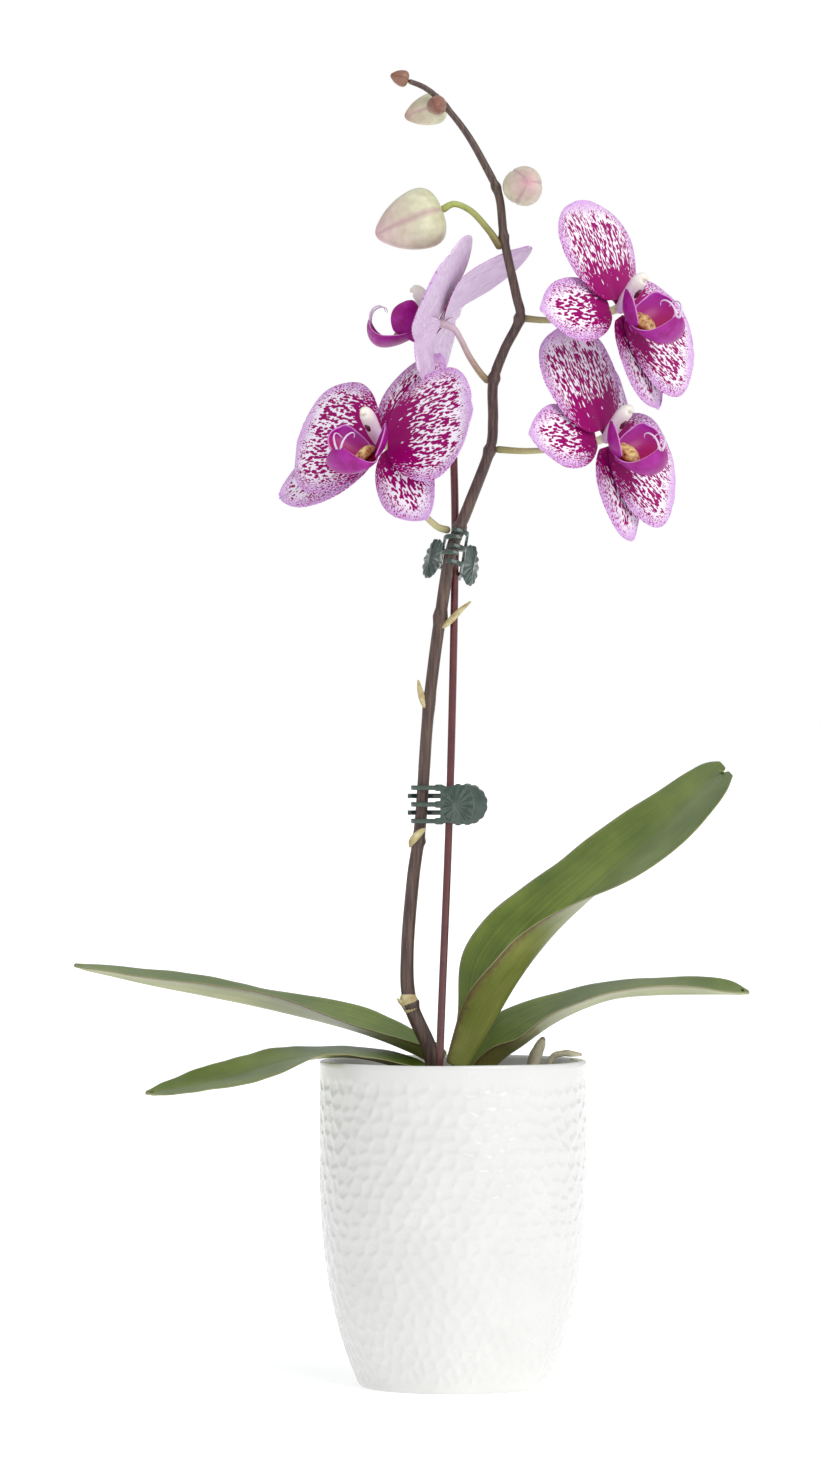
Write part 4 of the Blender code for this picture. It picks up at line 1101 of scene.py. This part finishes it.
for flower, (centre, azimuth, elevation, roll, size, petals, sepals) in FLOWERS.items():
    level = (Matrix.Translation((centre[0] * mm, centre[1] * mm, RIM + centre[2] * mm))
             @ Matrix.Rotation(math.radians(azimuth), 4, "Z")
             @ Matrix.Rotation(math.radians(-elevation), 4, "X"))
    stand = level @ Matrix.Rotation(math.radians(roll), 4, "Y")
    for part, values in (petals | sepals).items():
        kind = part.split("_")[1]
        piece = blade_piece(f"{flower}_{part}_spotted", kind, *values[:3], size, stand,
                            sum(map(ord, flower + part)) % 97, *values[3:])
        seat(piece, None, "petal_spotted", f"{flower}_{part}")

    # The lip: lobes and tongue are one fleshy piece; the callus sits where they meet. The lip
    # and column hang level however far the flower has rolled.
    turn = level.to_3x3()
    lobes = []
    for hand in (-1, 1):
        lobes.append(lip_sheet("lobe", 10, 10, lambda u, v: lobe(hand, u, v), lobe_fade,
                               level, size))
        face(lobes[-1], 40, turn @ Vector((-hand, 0, 0)))
    sheet = lip_sheet("tongue", len(tongue_rows) - 1, 10, tongue, tongue_fade, level, size)
    face(sheet, len(sheet.data.polygons) // 2, turn @ Vector((0, 0, 1)))
    lip = join([sheet] + lobes, flower + "_magenta_lip")
    flesh_out(lip, FLESH * 1.2)
    tendrils = []
    for hand in (-1, 1):
        tendrils.append(flower_tube(
            "tendril", [(hand * x, *rest) for x, *rest in through(TENDRIL, 4)], level, size,
            sides=8))
        tendrils[-1].data.materials.append(petal_back)
    lip = join([lip] + tendrils, flower + "_magenta_lip")
    bpy.ops.object.shade_smooth()
    seat(lip, None, "lip_magenta", flower + "_lip")
    callus = middle_tube(flower + "_callus", CALLUS, level, size, sides=20,
                         ripple=callus_ridges)
    seat(callus, callus_yellow, "lip_magenta")

    # The column: a club that rises forward, hooded by the anther cap. The hollow below its tip is
    # not cut; a dark stigma piece there is painted shade over the stigma's own colour.
    column = middle_tube(flower + "_white_column", through(COLUMN, 3), level, size, sides=20,
                         ripple=flat_column)
    seat(column, column_white, "column_white", flower + "_column")
    # A dark piece under the column's tip: painted shade of the hollow over the stigma's own
    # colour.
    stigma = middle_tube(flower + "_stigma", STIGMA, level, size, sides=14)
    seat(stigma, stigma_with_painted_shade, "column_white")

# Flower stalks: a smooth stalk from a joint of the spike to the back of each flower, pale
# yellow-green where it swells behind the bloom and darker by the spike.

PEDICELS = {
    "lower_left_pedicel": [
        (-3.2, -20.5, 264.5, 1.9), (-9, -21, 266.8, 1.7), (-18, -21.5, 276.5, 1.6),
        (-25, -22, 291, 1.6), (-29.5, -24, 301.8, 1.8), (-35.2, -31.1, 307.4, 2.2)],
    "upper_left_pedicel": [
        (16.6, -24.8, 338.8, 1.8), (13.3, -24, 342.5, 1.7), (8.1, -21.5, 350.4, 1.6),
        (3.6, -18.8, 359.5, 1.5), (0, -16.8, 364.9, 1.7), (-6.9, -16.2, 367.6, 2.2)],
    "upper_right_pedicel": [
        (36.2, -32.3, 368.8, 1.8), (45.3, -33, 368, 1.6), (59.3, -33.5, 368.3, 1.5),
        (71, -36, 370, 1.7), (80.7, -43.2, 373, 2.2)],
    "lower_right_pedicel": [
        (22.6, -21.4, 304.4, 1.8), (34.7, -22, 303.6, 1.6), (46.6, -23, 304, 1.5),
        (59.4, -25.5, 304.8, 1.6), (66.3, -29, 306.4, 1.8), (74.1, -35.2, 309.2, 2.2)],
    "large_bud_stalk": [
        (22.5, -37.2, 404.5, 1.9), (20.2, -37.2, 408.4, 1.9), (17, -37.2, 412.8, 1.7),
        (9.1, -37.5, 421.4, 1.6), (0.8, -37.8, 425.2, 1.6), (-4.6, -38, 422.9, 1.9)],
}
PEDICEL_COLOURS = {                    # at the spike, then at the flower
    "lower_left_pedicel": ((0.50, 0.46, 0.22), (0.68, 0.68, 0.40)),
    "upper_left_pedicel": ((0.42, 0.30, 0.16), (0.66, 0.50, 0.56)),
    "upper_right_pedicel": ((0.34, 0.28, 0.12), (0.55, 0.55, 0.30)),
    "lower_right_pedicel": ((0.44, 0.40, 0.16), (0.70, 0.68, 0.44)),
    "large_bud_stalk": ((0.24, 0.19, 0.06), (0.40, 0.44, 0.12)),
}


def shaded(tree, colour, scale, low, high):
    """A colour darkened in patches."""
    return mix_colours(tree, 1.0, colour, clouded(tree, scale, low, high)["Color"], "MULTIPLY")


for node, points in PEDICELS.items():
    at_spike, at_flower = PEDICEL_COLOURS[node]
    skin, tree, shader = surface(node + "_skin", 0.42, IOR=1.42, Coat_Weight=0.15)
    colour = ramp(tree, uv_parts(tree)[0], (0.05, [c * 0.45 for c in at_spike]),
                  (0.22, at_spike), (0.7, at_flower))
    paint(tree, shader, shaded(tree, colour, 300.0, (0.82, 0.82, 0.82), (1.0, 1.0, 1.0)))
    grain(tree, shader, 900, 0.15, 0.0002)
    stalk = tube(node.replace("_pedicel", "_flower_stalk").replace("large_bud_stalk", "bud_stalk"),
                 through(above_rim(points), 7), sides=14)
    seat(stalk, skin, "pedicel_green", node)

# Buds: closed sepals meeting along seams, waxy, greenish cream flushed with pink; the last two
# at the tip are still small, hard and red-brown.

BUD_SHAPE = [(0, 0), (0.07, 0.02), (0.16, 0.09), (0.30, 0.26), (0.40, 0.47), (0.445, 0.68),
             (0.42, 0.83), (0.33, 0.93), (0.18, 0.985), (0, 1)]
BUDS = {                               # tip, foot, fatness, seams, flush at the tip
    "large_bud": ((-38.5, -38, 409.6), (-5.2, -38, 421.6), 0.96, 1, (0.60, 0.30, 0.42)),
    "side_bud": ((36.6, -55, 434.9), (33.4, -35.5, 433.2), 1.12, 1, (0.62, 0.30, 0.40)),
    "upper_bud": ((-24.2, -28, 469), (-3.9, -28, 475), 0.85, 1, (0.40, 0.18, 0.16)),
    "small_bud": ((-8.6, -51, 472), (-8.1, -40.7, 474), 1.05, 0, (0.24, 0.08, 0.06)),
    "tip_bud": ((-31.2, -39, 488.9), (-22.2, -38.5, 486.3), 1.0, 0, (0.26, 0.10, 0.07)),
}
SEAM_TURN = math.radians(55)
bud_rows = through(BUD_SHAPE, 4)
for node, (tip, foot, fatness, seams, flush) in BUDS.items():
    skin, tree, shader = surface(node + "_skin", 0.42, IOR=1.42, Coat_Weight=0.2,
                                 Coat_Roughness=0.3, Subsurface_Weight=0.1,
                                 Subsurface_Radius=(0.004, 0.003, 0.002),
                                 Subsurface_Scale=0.4)
    body = (0.70, 0.68, 0.50) if seams else (0.30, 0.15, 0.10)
    at_foot = [c * d for c, d in zip(body, (0.86, 0.92, 0.72))]
    from_tip, round_bud = uv_parts(tree)
    colour = ramp(tree, from_tip, (0, flush), (0.55, body), (1, at_foot))
    wave = calc(tree, "SINE", calc(tree, "MULTIPLY", round_bud, 3 * math.pi))
    seam = remap(tree, calc(tree, "ABSOLUTE", wave), (0, 0.30), (0.7, 0))
    paint(tree, shader, mix_colours(
        tree, seam, shaded(tree, colour, 190.0, (0.80, 0.78, 0.74), (1.0, 1.0, 1.0)),
        (0.46, 0.26, 0.30, 1) if seams else (0.16, 0.07, 0.04, 1)))
    grain(tree, shader, 700, 0.15, 0.0003)
    tip, foot = Vector(tip) * mm, Vector(foot) * mm
    length = (foot - tip).length
    stand = (Matrix.Translation(tip + Vector((0, 0, RIM)))
             @ (foot - tip).to_track_quat("Z", "Y").to_matrix().to_4x4()
             @ Matrix.Rotation(SEAM_TURN, 4, "Z"))

    def bud_point(row, turn):
        r, along = bud_rows[row]
        open_share = math.sin(math.pi * min(max(along, 0), 1)) ** 0.3
        groove = 0.05 * max(0, 1 - abs(math.sin(turn * 1.5)) * 5) * open_share
        keel = 0.03 * math.cos(3 * turn + math.pi)
        r = max(r, 0) * fatness * length * (1 - groove + keel)
        return stand @ Vector((r * math.cos(turn), r * math.sin(turn), along * length))

    bud = lathe(node + "_closed", len(bud_rows), 48, bud_point)
    seat(bud, skin, "bud_cream" if seams else "small_bud_brown", node)
